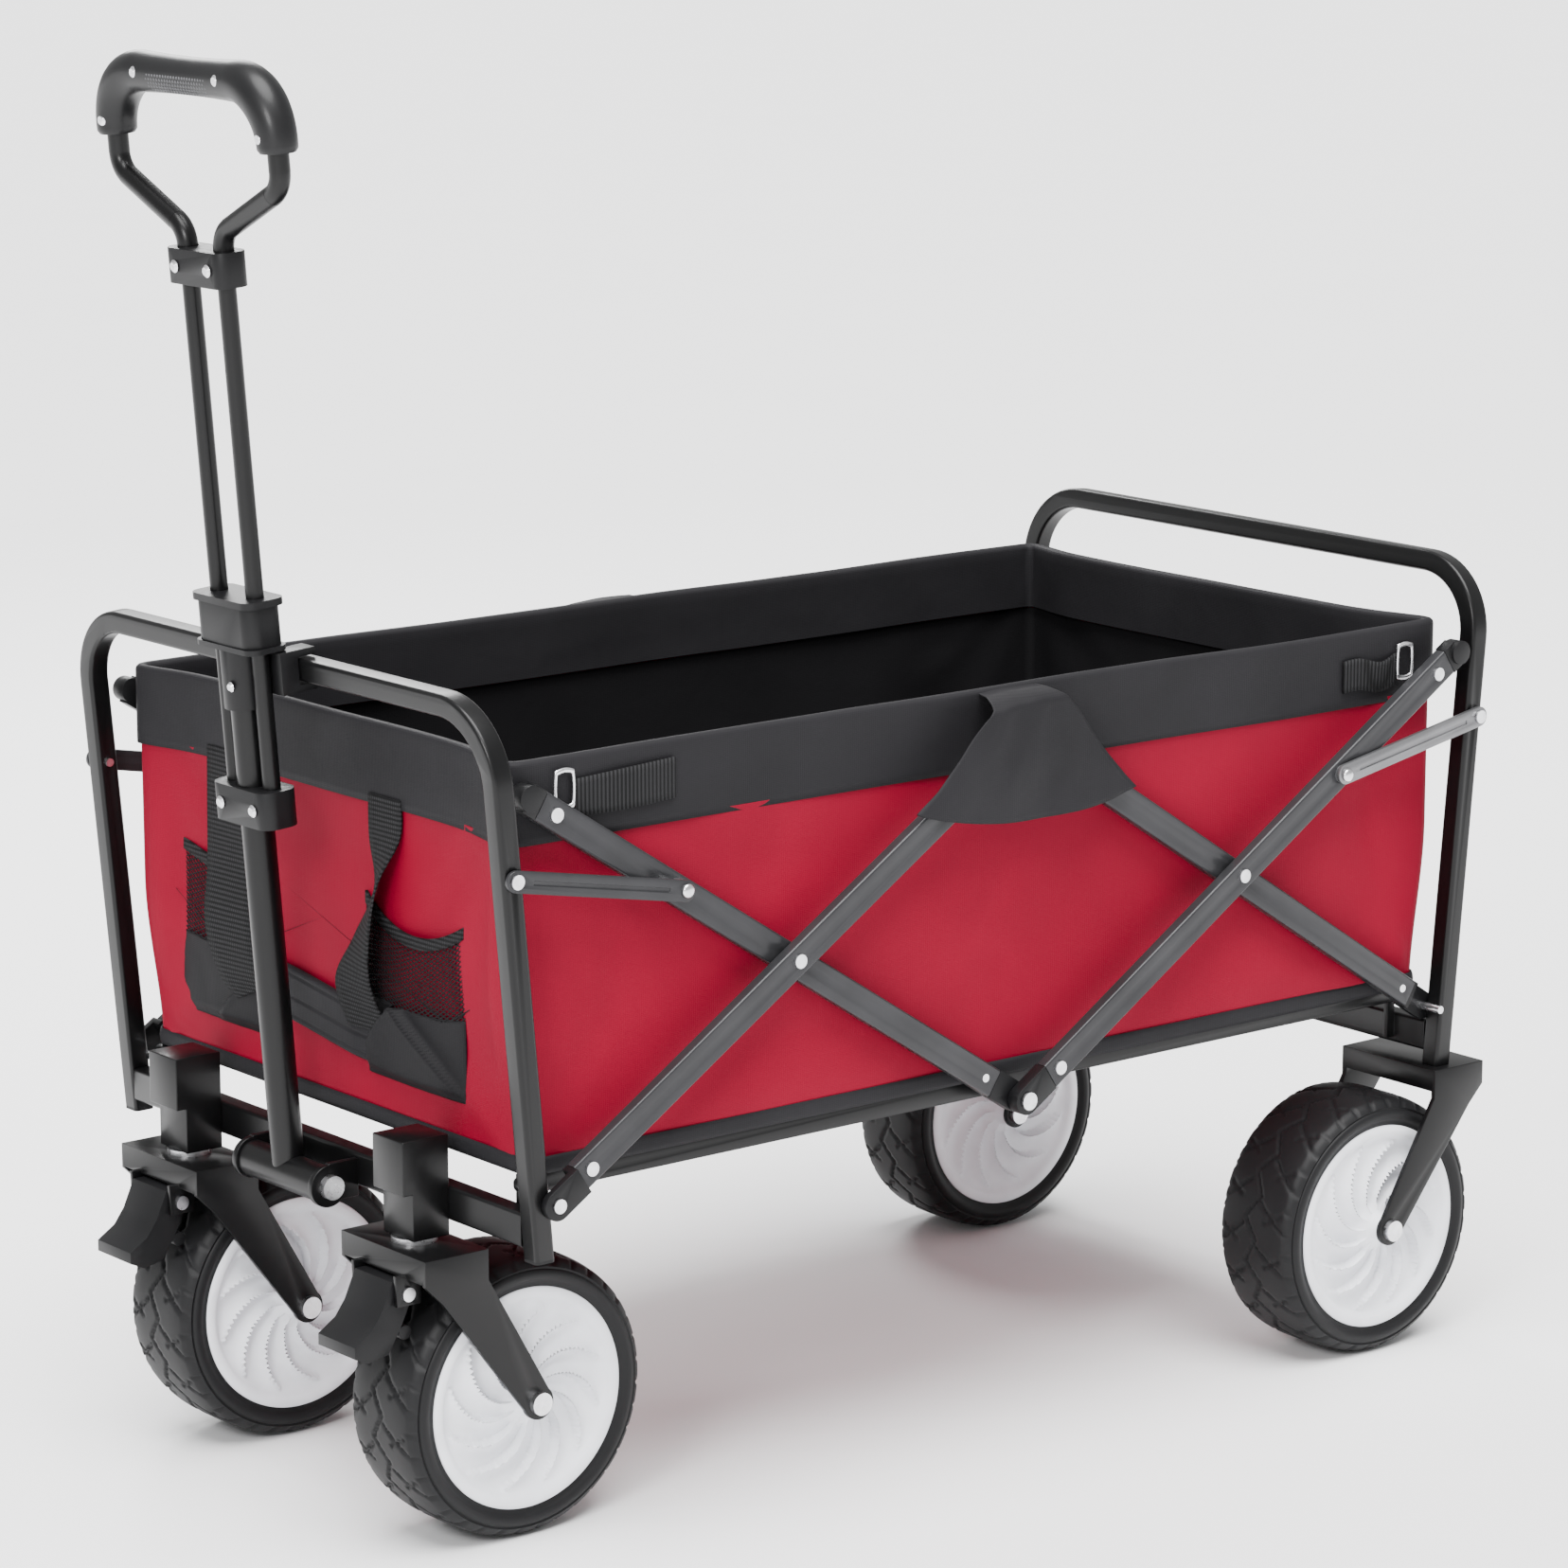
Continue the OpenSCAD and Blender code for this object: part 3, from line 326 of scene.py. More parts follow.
def steps_between(low, high, step):
    count = max(1, round((high - low) / step))
    return [low + (high - low) * i / count for i in range(1, count)]


def smooth(t):
    t = min(1.0, max(0.0, t))
    return t * t * (3 - 2 * t)


def triangle_wave(t):
    """From -1 to 1 and back once per unit of t."""
    return 1 - 4 * abs((t % 1.0) - 0.5)


def dome(bm, at, way, radius, rise):
    """A low rivet head that stands on a face at a point, radius and rise in millimetres."""
    made = bmesh.ops.create_uvsphere(bm, u_segments=20, v_segments=10, radius=radius * MM)["verts"]
    low = [v for v in made if v.co.z < -radius * MM * 0.3]
    bmesh.ops.delete(bm, geom=low, context="VERTS")
    made = [v for v in made if v.is_valid]
    for v in made:
        v.co.z = (v.co.z / (radius * MM) + 0.15) * rise * MM
    turn = way.to_track_quat("Z", "Y").to_matrix().to_4x4()
    bmesh.ops.transform(bm, matrix=Matrix.Translation(at) @ turn, verts=made)


# ---- Frame -------------------------------------------------------------------

class WAGON_OT_frame(bpy.types.Operator):
    """Gives the steel frame, bars, rivets and plugs their finishes and rounds their edges"""
    bl_idname = "wagon.frame"
    bl_label = "Frame and scissor bars"

    SOFTENED = {
        "front_crossbar": 0.6, "rear_crossbar": 0.6, "caster_columns": 1.2, "handle_bracket": 0.8,
        "rear_forks": 0.9, "caster_fork_left": 0.9, "caster_fork_right": 0.9,
        "front_outer_plugs": 0.7, "front_inner_plugs": 0.7, "rear_inner_plugs": 0.7, "rear_outer_plugs": 0.7,
        "front_stay_links": 0.5, "rear_stay_links": 0.5, "front_floor_rails": 0.7, "rear_floor_rails": 0.7,
        "brake_pedal_left": 1.6, "brake_pedal_right": 1.6,
        "guide_collar": 0.9, "lower_bracket": 1.2, "upper_clamp": 1.2,
        "front_hoop": 1.7, "rear_hoop": 1.7,
    }
    BARS = ("front_outer_bar", "front_inner_bar", "rear_inner_bar", "rear_outer_bar")
    BAR_ROUNDING = 2.2

    FROM_LINK_END = 0.0075
    HEAD_RADIUS, HEAD_RISE = 4.8, 1.9

    def link_heads(self, end):
        """Bright rivet heads at a pair of stay links' bar ends."""
        node = f"{end}_stay_links"
        bm = bmesh.new()
        joint = JOINT_AT[f"{end}_link_pivot"]
        for sign in SIDES.values():
            points = [v.co for v in NODES[node].data.vertices if v.co.y * sign > 0]
            far = max(points, key=lambda co: (co.xz - joint.xz).length)
            way = (far - joint).xz
            reach = way.length - self.FROM_LINK_END
            at = joint.xz + way.normalized() * reach
            face = max(abs(co.y) for co in points)
            spot = Vector((at.x, sign * face, at.y))
            dome(bm, spot, Vector((0, sign, 0)), self.HEAD_RADIUS, self.HEAD_RISE)
        piece(f"{end}_link_heads", bm, NODES[node]["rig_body"], "zinc", crease=40)

    def execute(self, context):
        for name, node in NODES.items():
            node.data.materials.clear()
            node.data.materials.append(PAINT[SLOT_OF[name]])
        for name, width in self.SOFTENED.items():
            soft_edged(name, width * MM)
        for bar in self.BARS:
            for side in SIDES:
                soft_edged(f"{bar}_{side}", self.BAR_ROUNDING * MM, 3)
        for end in ("front", "rear"):
            self.link_heads(end)
        return {"FINISHED"}


# ---- Wheels ------------------------------------------------------------------

def groove(distance, half_width):
    """Depth share of a groove at a distance from its middle line."""
    return smooth(1.35 - abs(distance) / half_width)


def tread_depth(arc, across, pitch):
    """Depth share of the tread pattern: a zigzag rib line, chevrons and short hooks."""
    depth = groove(across - 6 * triangle_wave(arc / pitch), 1.3)
    side = 1 if across > 0 else -1
    shift = 0.5 if side < 0 else 0.0
    reach = abs(across)
    phase = ((arc - 0.8 * reach) / pitch + shift) % 1.0
    if reach > 7:
        depth = max(depth, groove((phase - 0.5) * pitch, 1.5))
    phase = ((arc + 0.55 * reach) / pitch + shift + 0.22) % 1.0
    if 14 < reach < 29:
        depth = max(depth, groove((phase - 0.5) * pitch, 1.2) * 0.8)
    phase = ((arc - 0.25 * reach) / pitch * 2 + shift) % 1.0
    if reach > 31:
        depth = max(depth, groove((phase - 0.5) * pitch / 2, 1.3))
    return depth


def turned(bm, profile, steps):
    """Spins an outline of (radius, across) points about the Y axis and closes it."""
    verts = [bm.verts.new((radius, across, 0)) for radius, across in profile]
    edges = [bm.edges.new(pair) for pair in zip(verts, verts[1:] + verts[:1])]
    bmesh.ops.spin(
        bm, geom=verts + edges, cent=(0, 0, 0), axis=(0, 1, 0), angle=math.tau,
        steps=steps, use_merge=True, use_duplicate=False,
    )
    bmesh.ops.remove_doubles(bm, verts=bm.verts, dist=1e-6)


class WAGON_OT_wheels(bpy.types.Operator):
    """Builds the treaded tyres and the white discs with their curved fins"""
    bl_idname = "wagon.wheels"
    bl_label = "Wheels"

    GROOVE_DEPTH = 2.0
    HUB_EDGE, RING_EDGE, FIN_RISE, FIN_DROP = 16, 66.6, 8.6, 3.0

    def tyre(self, name, centre, body, node, radius, disc):
        crown = [(radius - 0.2 - 2.6 * (s / 33) ** 4, s) for s in range(-32, 33, 2)]
        side = [(radius - 5.2, 35.4), (radius - 8, 37.2), (radius - 8.6, 36.6), (radius - 9.6, 36.6),
                (radius - 10.2, 37.8), (radius - 14, 38.6), (disc + 4.5, 37.4), (disc + 3.2, 36),
                (disc + 0.1, 35.6)]
        outline = [(r * MM, s * MM) for r, s in crown + side]
        outline += [(r * MM, -s * MM) for r, s in reversed(side)]
        bm = bmesh.new()
        turned(bm, outline, 320)
        pitch = math.tau * radius / 18
        edge = (radius - 6.5) * MM
        for v in bm.verts:
            reach = math.hypot(v.co.x, v.co.z)
            if reach > edge:
                arc = math.atan2(v.co.z, v.co.x) * radius
                cut = tread_depth(arc, v.co.y / MM, pitch) * self.GROOVE_DEPTH * MM
                v.co.x *= 1 - cut / reach
                v.co.z *= 1 - cut / reach
            v.co += centre
        return piece(name, bm, body, "tyre", stands_for=(node,), crease=60)

    def disc(self, name, centre, body, node, radius, hub, hand):
        half = [(4.1, hub), (9.5, hub), (10.2, hub - 0.8), (11, 38.5), (13, 36), (17, 34.2)]
        half += [(17 + i * (66.5 - 17) / 18, 32.2 - 1.2 * math.sin(math.pi * i / 18)) for i in range(1, 19)]
        half += [(68.5, 33.4), (70.2, 35.6), (72.4, 36.8), (radius - 0.6, 36.8), (radius, 36.2)]
        outline = [(r * MM, s * MM) for r, s in half]
        outline += [(r * MM, -s * MM) for r, s in reversed(half)]
        bm = bmesh.new()
        turned(bm, outline, 288)
        for v in bm.verts:
            reach = math.hypot(v.co.x, v.co.z) / MM
            if self.HUB_EDGE < reach < self.RING_EDGE and abs(v.co.y) < 35 * MM:
                face = 1 if v.co.y > 0 else -1
                share = (reach - self.HUB_EDGE) / 50.5
                swirl = math.radians(52) * share ** 1.25 * hand
                turn = (math.atan2(v.co.z, v.co.x) - swirl) * hand
                u = (turn / math.radians(30)) % 1.0
                ridge = (u / 0.9) ** 3.0 if u < 0.9 else 1 - smooth((u - 0.9) / 0.1)
                fade = math.sin(math.pi * min(1, max(0, share))) ** 0.5
                v.co.y += face * (self.FIN_RISE * ridge * fade - self.FIN_DROP * fade) * MM
            v.co += centre
        return piece(name, bm, body, "white_plastic", stands_for=(node,), crease=60)

    def execute(self, context):
        for end in ("front", "rear"):
            for side, sign in SIDES.items():
                low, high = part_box(f"tyre_{end}_{side}")
                disc_low, disc_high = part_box(f"rim_{end}_{side}")
                centre = (low + high) / 2
                radius = (high.z - low.z) / 2 / MM
                disc = (disc_high.z - disc_low.z) / 2 / MM
                hub = (disc_high.y - disc_low.y) / 2 / MM
                body = f"{end}_wheel_{side}"
                tyre = f"tyre_{end}_{side}"
                self.tyre(f"{tyre}_tread", centre, body, tyre, radius, disc)
                self.disc(f"disc_{end}_{side}", centre, body, f"rim_{end}_{side}", disc, hub, sign)
        return {"FINISHED"}


# ---- Tub ---------------------------------------------------------------------

def wall_fold(along_wall, height, half, seed):
    """Outward travel of a cloth panel in metres: folds from its corners and slow swells."""
    span = TUB_HIGH.z - TUB_LOW.z
    travel = 0.0
    for cx, cz, pull, count, phase in (
        (-half, TUB_HIGH.z, 4.2, 9, 0.4), (half, TUB_HIGH.z, 4.2, 8, 1.7),
        (-half, TUB_LOW.z, 3.4, 7, 2.9), (half, TUB_LOW.z, 3.4, 9, 0.9),
    ):
        dx, dz = along_wall - cx, height - cz
        away = math.hypot(dx, dz)
        angle = math.atan2(abs(dz), abs(dx))
        rays = math.sin(angle * count + phase + seed)
        travel += pull * math.exp(-away / 0.17) * rays * smooth(away / 0.03)
    sway = noise.noise(Vector((along_wall * 4.2 + seed * 7, height * 6.0, seed)))
    ripple = noise.noise(Vector((along_wall * 13 + height * 7, height * 9 - along_wall * 4, seed * 3 + 5)))
    mid = math.cos(math.pi * along_wall / (2 * half)) * math.sin(math.pi * (height - TUB_LOW.z) / span)
    travel += 3.4 * sway + 1.3 * ripple + 1.2 * mid - 1.2
    edge = smooth((height - TUB_LOW.z) / 0.03) * smooth((half - abs(along_wall)) / 0.02)
    under_band = smooth((BAND_LOW.z - 0.002 - height) / 0.02)
    most = -1.0 + (3.2 + 1.0) * under_band
    return max(-8.0, min(most, travel * edge)) * MM


def tub_shell(grow, low, high, corner):
    """A closed box round the tub's outline, with round upright edges."""
    bm = bmesh.new()
    bmesh.ops.create_cube(bm, size=2)
    bmesh.ops.scale(bm, vec=(HALF_L + grow, HALF_W + grow, (high - low) / 2), verts=bm.verts)
    bmesh.ops.translate(bm, vec=(MID_X, 0, (high + low) / 2), verts=bm.verts)
    upright = [e for e in bm.edges if abs(e.verts[0].co.z - e.verts[1].co.z) > 0.005]
    rounded(bm, upright, corner, 7)
    return bm


def facing(bm, direction):
    way = Vector(direction)
    bm.normal_update()
    return [f for f in bm.faces if f.normal.dot(way) > 0.9]


CORNER_PULL = 13 * MM
PULL_REACH = 0.045


def corner_pull(x, y, z):
    """How far the bars' caps draw the cloth's upright corners outwards along the wagon."""
    near = math.exp(-((HALF_L - abs(x)) ** 2 + (HALF_W - abs(y)) ** 2) / PULL_REACH ** 2)
    height = (z - TUB_LOW.z) / (TUB_HIGH.z - TUB_LOW.z)
    return math.copysign(CORNER_PULL * near * smooth(height * 2.2), x)


def move_walls(bm):
    """Moves the four walls' points outwards by the cloth's folds."""
    for v in bm.verts:
        x, y, z = v.co.x - MID_X, v.co.y, v.co.z
        v.co.x += corner_pull(x, y, z)
        if abs(y) > HALF_W - 0.012 and abs(x) < HALF_L - 0.018:
            v.co.y += math.copysign(wall_fold(x, z, HALF_L, 1.0 if y > 0 else 2.0), y)
        elif abs(x) > HALF_L - 0.012 and abs(y) < HALF_W - 0.018:
            v.co.x += math.copysign(wall_fold(y, z, HALF_W, 3.0 if x > 0 else 4.0), x)


def squash_with_fold(obj):
    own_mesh(obj)


class WAGON_OT_tub(bpy.types.Operator):
    """Builds the red tub with its charcoal lining and its dark hem"""
    bl_idname = "wagon.tub"
    bl_label = "Fabric tub"

    def execute(self, context):
        bm = tub_shell(-0.0004, TUB_LOW.z + 0.0005, BAND_LOW.z + 0.004, 0.011)
        bmesh.ops.delete(bm, geom=facing(bm, (0, 0, 1)), context="FACES")
        rim_low = [e for e in bm.edges if len(e.link_faces) == 2
                   and all(abs(v.co.z - TUB_LOW.z) < 0.002 for v in e.verts)]
        rounded(bm, rim_low, 0.006, 3)
        slice_along(bm, (0, 0, 1), steps_between(TUB_LOW.z + 0.008, TUB_HIGH.z, 0.0085))
        slice_along(bm, (1, 0, 0), steps_between(TUB_LOW.x, TUB_HIGH.x, 0.0105))
        slice_along(bm, (0, 1, 0), steps_between(-HALF_W, HALF_W, 0.0105))
        move_walls(bm)
        tub = piece("tub_cloth", bm, "tub", "red_cloth", "red_cloth", "lining",
                    stands_for=("fabric_tub",))
        thicken(tub, 0.0024, -1.0, 1)
        squash_with_fold(tub)

        hem = tub_shell(0.0012, TUB_LOW.z + 0.001, TUB_LOW.z + 0.013, 0.012)
        for way in ((0, 0, 1), (0, 0, -1)):
            bmesh.ops.delete(hem, geom=facing(hem, way), context="FACES")
        slice_along(hem, (1, 0, 0), steps_between(TUB_LOW.x, TUB_HIGH.x, 0.02))
        slice_along(hem, (0, 0, 1), steps_between(TUB_LOW.z + 0.001, TUB_LOW.z + 0.013, 0.003))
        for v in hem.verts:
            swell = 0.0009 * math.sin(math.pi * (v.co.z - TUB_LOW.z - 0.001) / 0.012)
            v.co.y += math.copysign(swell, v.co.y)
            v.co.x += math.copysign(swell, v.co.x - MID_X)
        binding = piece("tub_hem", hem, "tub", "dark_cloth")
        thicken(binding, 0.001, -1.0)
        squash_with_fold(binding)
        return {"FINISHED"}


class WAGON_OT_band(bpy.types.Operator):
    """Builds the charcoal band that wraps over the tub's rim, gathered at its corners"""
    bl_idname = "wagon.band"
    bl_label = "Rim band"

    def execute(self, context):
        low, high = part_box("rim_band")
        grow = high.y - HALF_W - 0.0001
        bm = tub_shell(grow, low.z, high.z + 0.0015, 0.013)
        bmesh.ops.delete(bm, geom=facing(bm, (0, 0, -1)), context="FACES")
        top = facing(bm, (0, 0, 1))
        bmesh.ops.inset_region(bm, faces=top, thickness=0.0075, use_even_offset=True)
        top = [f for f in facing(bm, (0, 0, 1)) if f.calc_area() > 0.1]
        inner = bmesh.ops.extrude_face_region(bm, geom=top)["geom"]
        moved = [g for g in inner if isinstance(g, bmesh.types.BMVert)]
        bmesh.ops.translate(bm, vec=(0, 0, low.z - high.z + 0.004), verts=moved)
        bmesh.ops.delete(bm, geom=[g for g in inner if isinstance(g, bmesh.types.BMFace)], context="FACES")
        flat = [f for f in bm.faces if f.calc_area() > 0.1 and abs(f.normal.z) > 0.9]
        if flat:
            bmesh.ops.delete(bm, geom=flat, context="FACES")
        crest = [e for e in bm.edges if min(v.co.z for v in e.verts) > high.z + 0.001
                 and len(e.link_faces) == 2 and e.calc_face_angle() > 1.2]
        rounded(bm, crest, 0.0032, 3)
        slice_along(bm, (0, 0, 1), steps_between(low.z, high.z - 0.003, 0.006))
        slice_along(bm, (1, 0, 0), steps_between(TUB_LOW.x, TUB_HIGH.x, 0.009))
        slice_along(bm, (0, 1, 0), steps_between(-HALF_W, HALF_W, 0.009))
        for v in bm.verts:
            x, y, z = v.co.x - MID_X, v.co.y, v.co.z
            outer = abs(x) > HALF_L - 0.002 or abs(y) > HALF_W - 0.002
            to_corner = math.hypot(abs(x) - HALF_L, abs(y) - HALF_W)
            share = (z - low.z) / (high.z - low.z)
            gather = math.exp(-to_corner / 0.045)
            ripple = math.sin((x - y) * 260) * 0.8 * gather
            crumple = noise.noise(Vector((x * 16, y * 16, z * 24))) * (0.9 + 1.6 * gather)
            travel = ripple + crumple * smooth(share * 3) * (1.1 - share * 0.4)
            travel = max(0.1, min(2.2, travel)) if outer else max(-2.2, min(0.4, travel))
            v.co.x += corner_pull(x, y, z)
            along_x = abs(y) > HALF_W - 0.015
            if along_x and abs(x) < HALF_L - 0.010:
                v.co.y += math.copysign(travel * MM, y)
            elif abs(y) < HALF_W - 0.010:
                v.co.x += math.copysign(travel * MM, x)
            v.co.z += 0.0015 * noise.noise(Vector((x * 7, y * 7, 3.0))) * (1 if share > 0.8 else 0.6)
        band = piece("rim_band_cloth", bm, "tub", "dark_cloth", stands_for=("rim_band",))
        thicken(band, 0.0008, 1.0)
        squash_with_fold(band)
        return {"FINISHED"}


class WAGON_OT_mat(bpy.types.Operator):
    """Builds the four-board floor mat with its fold lines"""
    bl_idname = "wagon.mat"
    bl_label = "Floor mat"

    def execute(self, context):
        low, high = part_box("floor_mat")
        bm = bmesh.new()
        bmesh.ops.create_cube(bm, size=1)
        bmesh.ops.scale(bm, vec=high - low, verts=bm.verts)
        bmesh.ops.translate(bm, vec=(high + low) / 2, verts=bm.verts)
        slice_along(bm, (1, 0, 0), steps_between(low.x, high.x, 0.0066))
        slice_along(bm, (0, 1, 0), steps_between(low.y, high.y, 0.014))
        slice_along(bm, (0, 0, 1), [(low.z + high.z) / 2])
        board = (high.x - low.x) / 4
        for v in bm.verts:
            across = ((v.co.x - low.x) / board) % 1.0
            to_line = min(across, 1 - across) * board
            edge = min(v.co.y - low.y, high.y - v.co.y, to_line)
            drop = 0.0016 * (1 - smooth(edge / 0.012))
            if v.co.z > high.z - 0.001:
                v.co.z -= drop + 0.0006 * (0.5 + noise.noise(Vector((v.co.x * 9, v.co.y * 9, 1.0))))
            elif v.co.z < low.z + 0.001:
                v.co.z += drop * 0.3
        mat = piece("floor_mat_cover", bm, "tub", "mat_board", stands_for=("floor_mat",))
        squash_with_fold(mat)
        return {"FINISHED"}


# ---- Joint covers, pockets and straps ------------------------------------------

def curve_through(points, count):
    """Evenly numbered points on a smooth curve through the given tuples."""
    rows = [points[0]] + list(points) + [points[-1]]
    out = []
    for i in range(count + 1):
        at = i / count * (len(points) - 1)
        k = min(int(at), len(points) - 2)
        t = at - k
        p0, p1, p2, p3 = rows[k:k + 4]
        out.append(tuple(
            0.5 * (2 * b + (c - a) * t + (2 * a - 5 * b + 4 * c - d) * t * t
                   + (3 * b - a - 3 * c + d) * t ** 3)
            for a, b, c, d in zip(p0, p1, p2, p3)
        ))
    return out


def ribbon(bm, stations, cells=4):
    """A flat strip through (centre, half width vector) stations, made by extruding an edge."""
    def row(station):
        centre, half = Vector(station[:3]), Vector(station[3:])
        return [centre + half * (2 * i / cells - 1) for i in range(cells + 1)]

    verts = [bm.verts.new(co) for co in row(stations[0])]
    edges = [bm.edges.new(pair) for pair in zip(verts, verts[1:])]
    for station in stations[1:]:
        grown = bmesh.ops.extrude_edge_only(bm, edges=edges)["geom"]
        edges = [g for g in grown if isinstance(g, bmesh.types.BMEdge)
                 and not any(v in verts for v in g.verts)]
        fresh = [g for g in grown if isinstance(g, bmesh.types.BMVert)]
        order = {}
        for old, co in zip(verts, row(station)):
            new = next(e.other_vert(old) for e in old.link_edges if e.other_vert(old) in fresh)
            order[new] = co
        for new, co in order.items():
            new.co = co
        verts = list(order)


class WAGON_OT_covers(bpy.types.Operator):
    """Drapes the cloth hoods over the two top joints"""
    bl_idname = "wagon.covers"
    bl_label = "Joint covers"

    LEFT = ((-24, 561), (-52, 536), (-84, 503), (-107, 486))
    RIGHT = ((24, 561), (44, 543), (76, 506), (104, 478))

    def hood(self, side, sign):
        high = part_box("joint_covers")[1]
        wall = (HALF_W + 0.0022) / MM
        proud = high.y / MM - 1.0
        bm = bmesh.new()
        bmesh.ops.create_grid(bm, x_segments=36, y_segments=24, size=1)
        left, right = curve_through(self.LEFT, 24), curve_through(self.RIGHT, 24)
        for v in bm.verts:
            u, fall = v.co.x, (1 - v.co.y) / 2
            row = min(24, round(fall * 24))
            share = (u + 1) / 2
            x = left[row][0] + (right[row][0] - left[row][0]) * share
            z = left[row][1] + (right[row][1] - left[row][1]) * share
            z -= 15 * fall ** 2 * math.sin(math.pi * share) ** 0.8
            z += 5 * math.sin(math.pi * fall) * math.cos(math.pi * u / 2)
            over = smooth(fall / 0.2)
            tuck = 7 * smooth((fall - 0.45) / 0.55) * math.exp(-((u - 0.12) / 0.34) ** 2)
            lean = 6 * smooth((u - 0.3) / 0.7) * smooth(fall * 1.5)
            crumple = 1.1 * noise.noise(Vector((x / 21, z / 21, sign)))
            fold = 0.8 * math.sin(u * 9 + fall * 2.2) * smooth(fall * 2) + crumple
            y = wall + (proud - wall) * over - tuck - lean + min(0.6, fold)
            if fall < 0.05:
                y, z = wall - 5, z - 1
            v.co = Vector((MID_X + x * MM, sign * y * MM, z * MM))
        area = sum(f.calc_area() for f in bm.faces)
        cover = piece(f"joint_cover_{side}", bm, "tub", "dark_cloth", stands_for=("joint_covers",))
        thicken(cover, 0.0009, 0.0)
        squash_with_fold(cover)

    def execute(self, context):
        for side, sign in SIDES.items():
            self.hood(side, sign)
        return {"FINISHED"}


class WAGON_OT_pockets(bpy.types.Operator):
    """Sews the two bottle pockets: a pleated pouch, a net and a bound top edge"""
    bl_idname = "wagon.pockets"
    bl_label = "Bottle pockets"

    SEAM = 0.47

    def depth(self, u, v, pleat):
        """How far the pocket stands from the panel, in millimetres."""
        sides = math.sin(math.pi * min(1, max(0, u))) ** 0.5
        swell = 1.5 + 10.5 * sides * (0.35 + 0.65 * math.sin(math.pi * (0.12 + 0.7 * v)))
        left = 0.50 - (pleat - u) * 0.9
        right = 0.50 - (u - pleat) * 0.46 / (1.02 - pleat)
        flap = smooth((min(left, right) - v) / 0.03)
        crease = math.exp(-((min(left, right) - v - 0.03) / 0.03) ** 2)
        swell = swell * (0.6 + 0.4 * flap) + (3.2 * flap + 1.2 * crease - 1.0) * smooth(v * 8) * sides ** 0.4
        return min(17.4, swell * (0.25 + 0.75 * smooth(v / 0.07)) + 0.6)

    def top(self, u, slope, sag):
        return 1 - slope * u - sag * 4 * u * (1 - u)

    def place(self, u, v, box, pleat, slope, sag):
        (y0, z0), (y1, z1), wall = box
        top = self.top(u, slope, sag)
        z = z0 + (z1 - z0) * v * (top if v > self.SEAM else 1 - (1 - top) * v / self.SEAM * 0.5)
        return Vector((wall - self.depth(u, v, pleat) * MM, y0 + (y1 - y0) * u, z))

    def pocket(self, side, box, pleat, slope, sag):
        shape = (box, pleat, slope, sag)
        bm = bmesh.new()
        bmesh.ops.create_grid(bm, x_segments=44, y_segments=30, size=0.5)
        for v in bm.verts:
            u, up = v.co.x + 0.5, (v.co.y + 0.5) * self.SEAM
            v.co = self.place(u, up, *shape)
            v.co.x -= 0.0005 * noise.noise(v.co * 60)
        pouch = piece(f"pocket_pouch_{side}", bm, "tub", "pocket_cloth", stands_for=("bottle_pockets",))
        thicken(pouch, 0.0010, 0.0)
        squash_with_fold(pouch)

        bm = bmesh.new()
        bmesh.ops.create_grid(bm, x_segments=40, y_segments=40, size=0.82)
        bmesh.ops.rotate(bm, cent=(0, 0, 0), matrix=Matrix.Rotation(math.radians(45), 3, "Z"), verts=bm.verts)
        for way in ((1, 0, 0), (-1, 0, 0), (0, 1, 0), (0, -1, 0)):
            bmesh.ops.bisect_plane(bm, geom=bm.verts[:] + bm.edges[:] + bm.faces[:], dist=1e-6,
                                   plane_co=Vector(way) * 0.5, plane_no=way, clear_outer=True)
        for v in bm.verts:
            v.co = self.place(v.co.x + 0.5, self.SEAM - 0.01 + (v.co.y + 0.5) * (0.98 - self.SEAM), *shape)
        net = piece(f"pocket_net_{side}", bm, "tub", "pocket_cloth")
        wire = net.modifiers.new("net", "WIREFRAME")
        wire.thickness = 0.0011
        wire.use_replace = True
        with_modifiers(net)
        squash_with_fold(net)

        edge = []
        for i in range(25):
            centre = self.place(i / 24, 0.985, *shape) + Vector((-0.0004, 0, 0))
            edge.append((*centre, 0.0, 0.0, 0.0042))
        bm = bmesh.new()
        ribbon(bm, edge, 2)
        binding = piece(f"pocket_binding_{side}", bm, "tub", "pocket_cloth", "webbing")
        thicken(binding, 0.0022, 0.0)
        squash_with_fold(binding)

    def execute(self, context):
        low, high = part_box("bottle_pockets")
        wall = TUB_LOW.x - 0.0002
        inner = high.y - 0.114
        # The u axis runs from +Y to -Y, left to right as seen from the front
        self.pocket("left", ((high.y + 0.016, low.z), (inner + 0.004, high.z), wall), 0.93, 0.20, 0.0)
        self.pocket("right", ((-inner + 0.012, low.z), (low.y + 0.010, high.z), wall), 0.36, 0.04, 0.15)
        return {"FINISHED"}


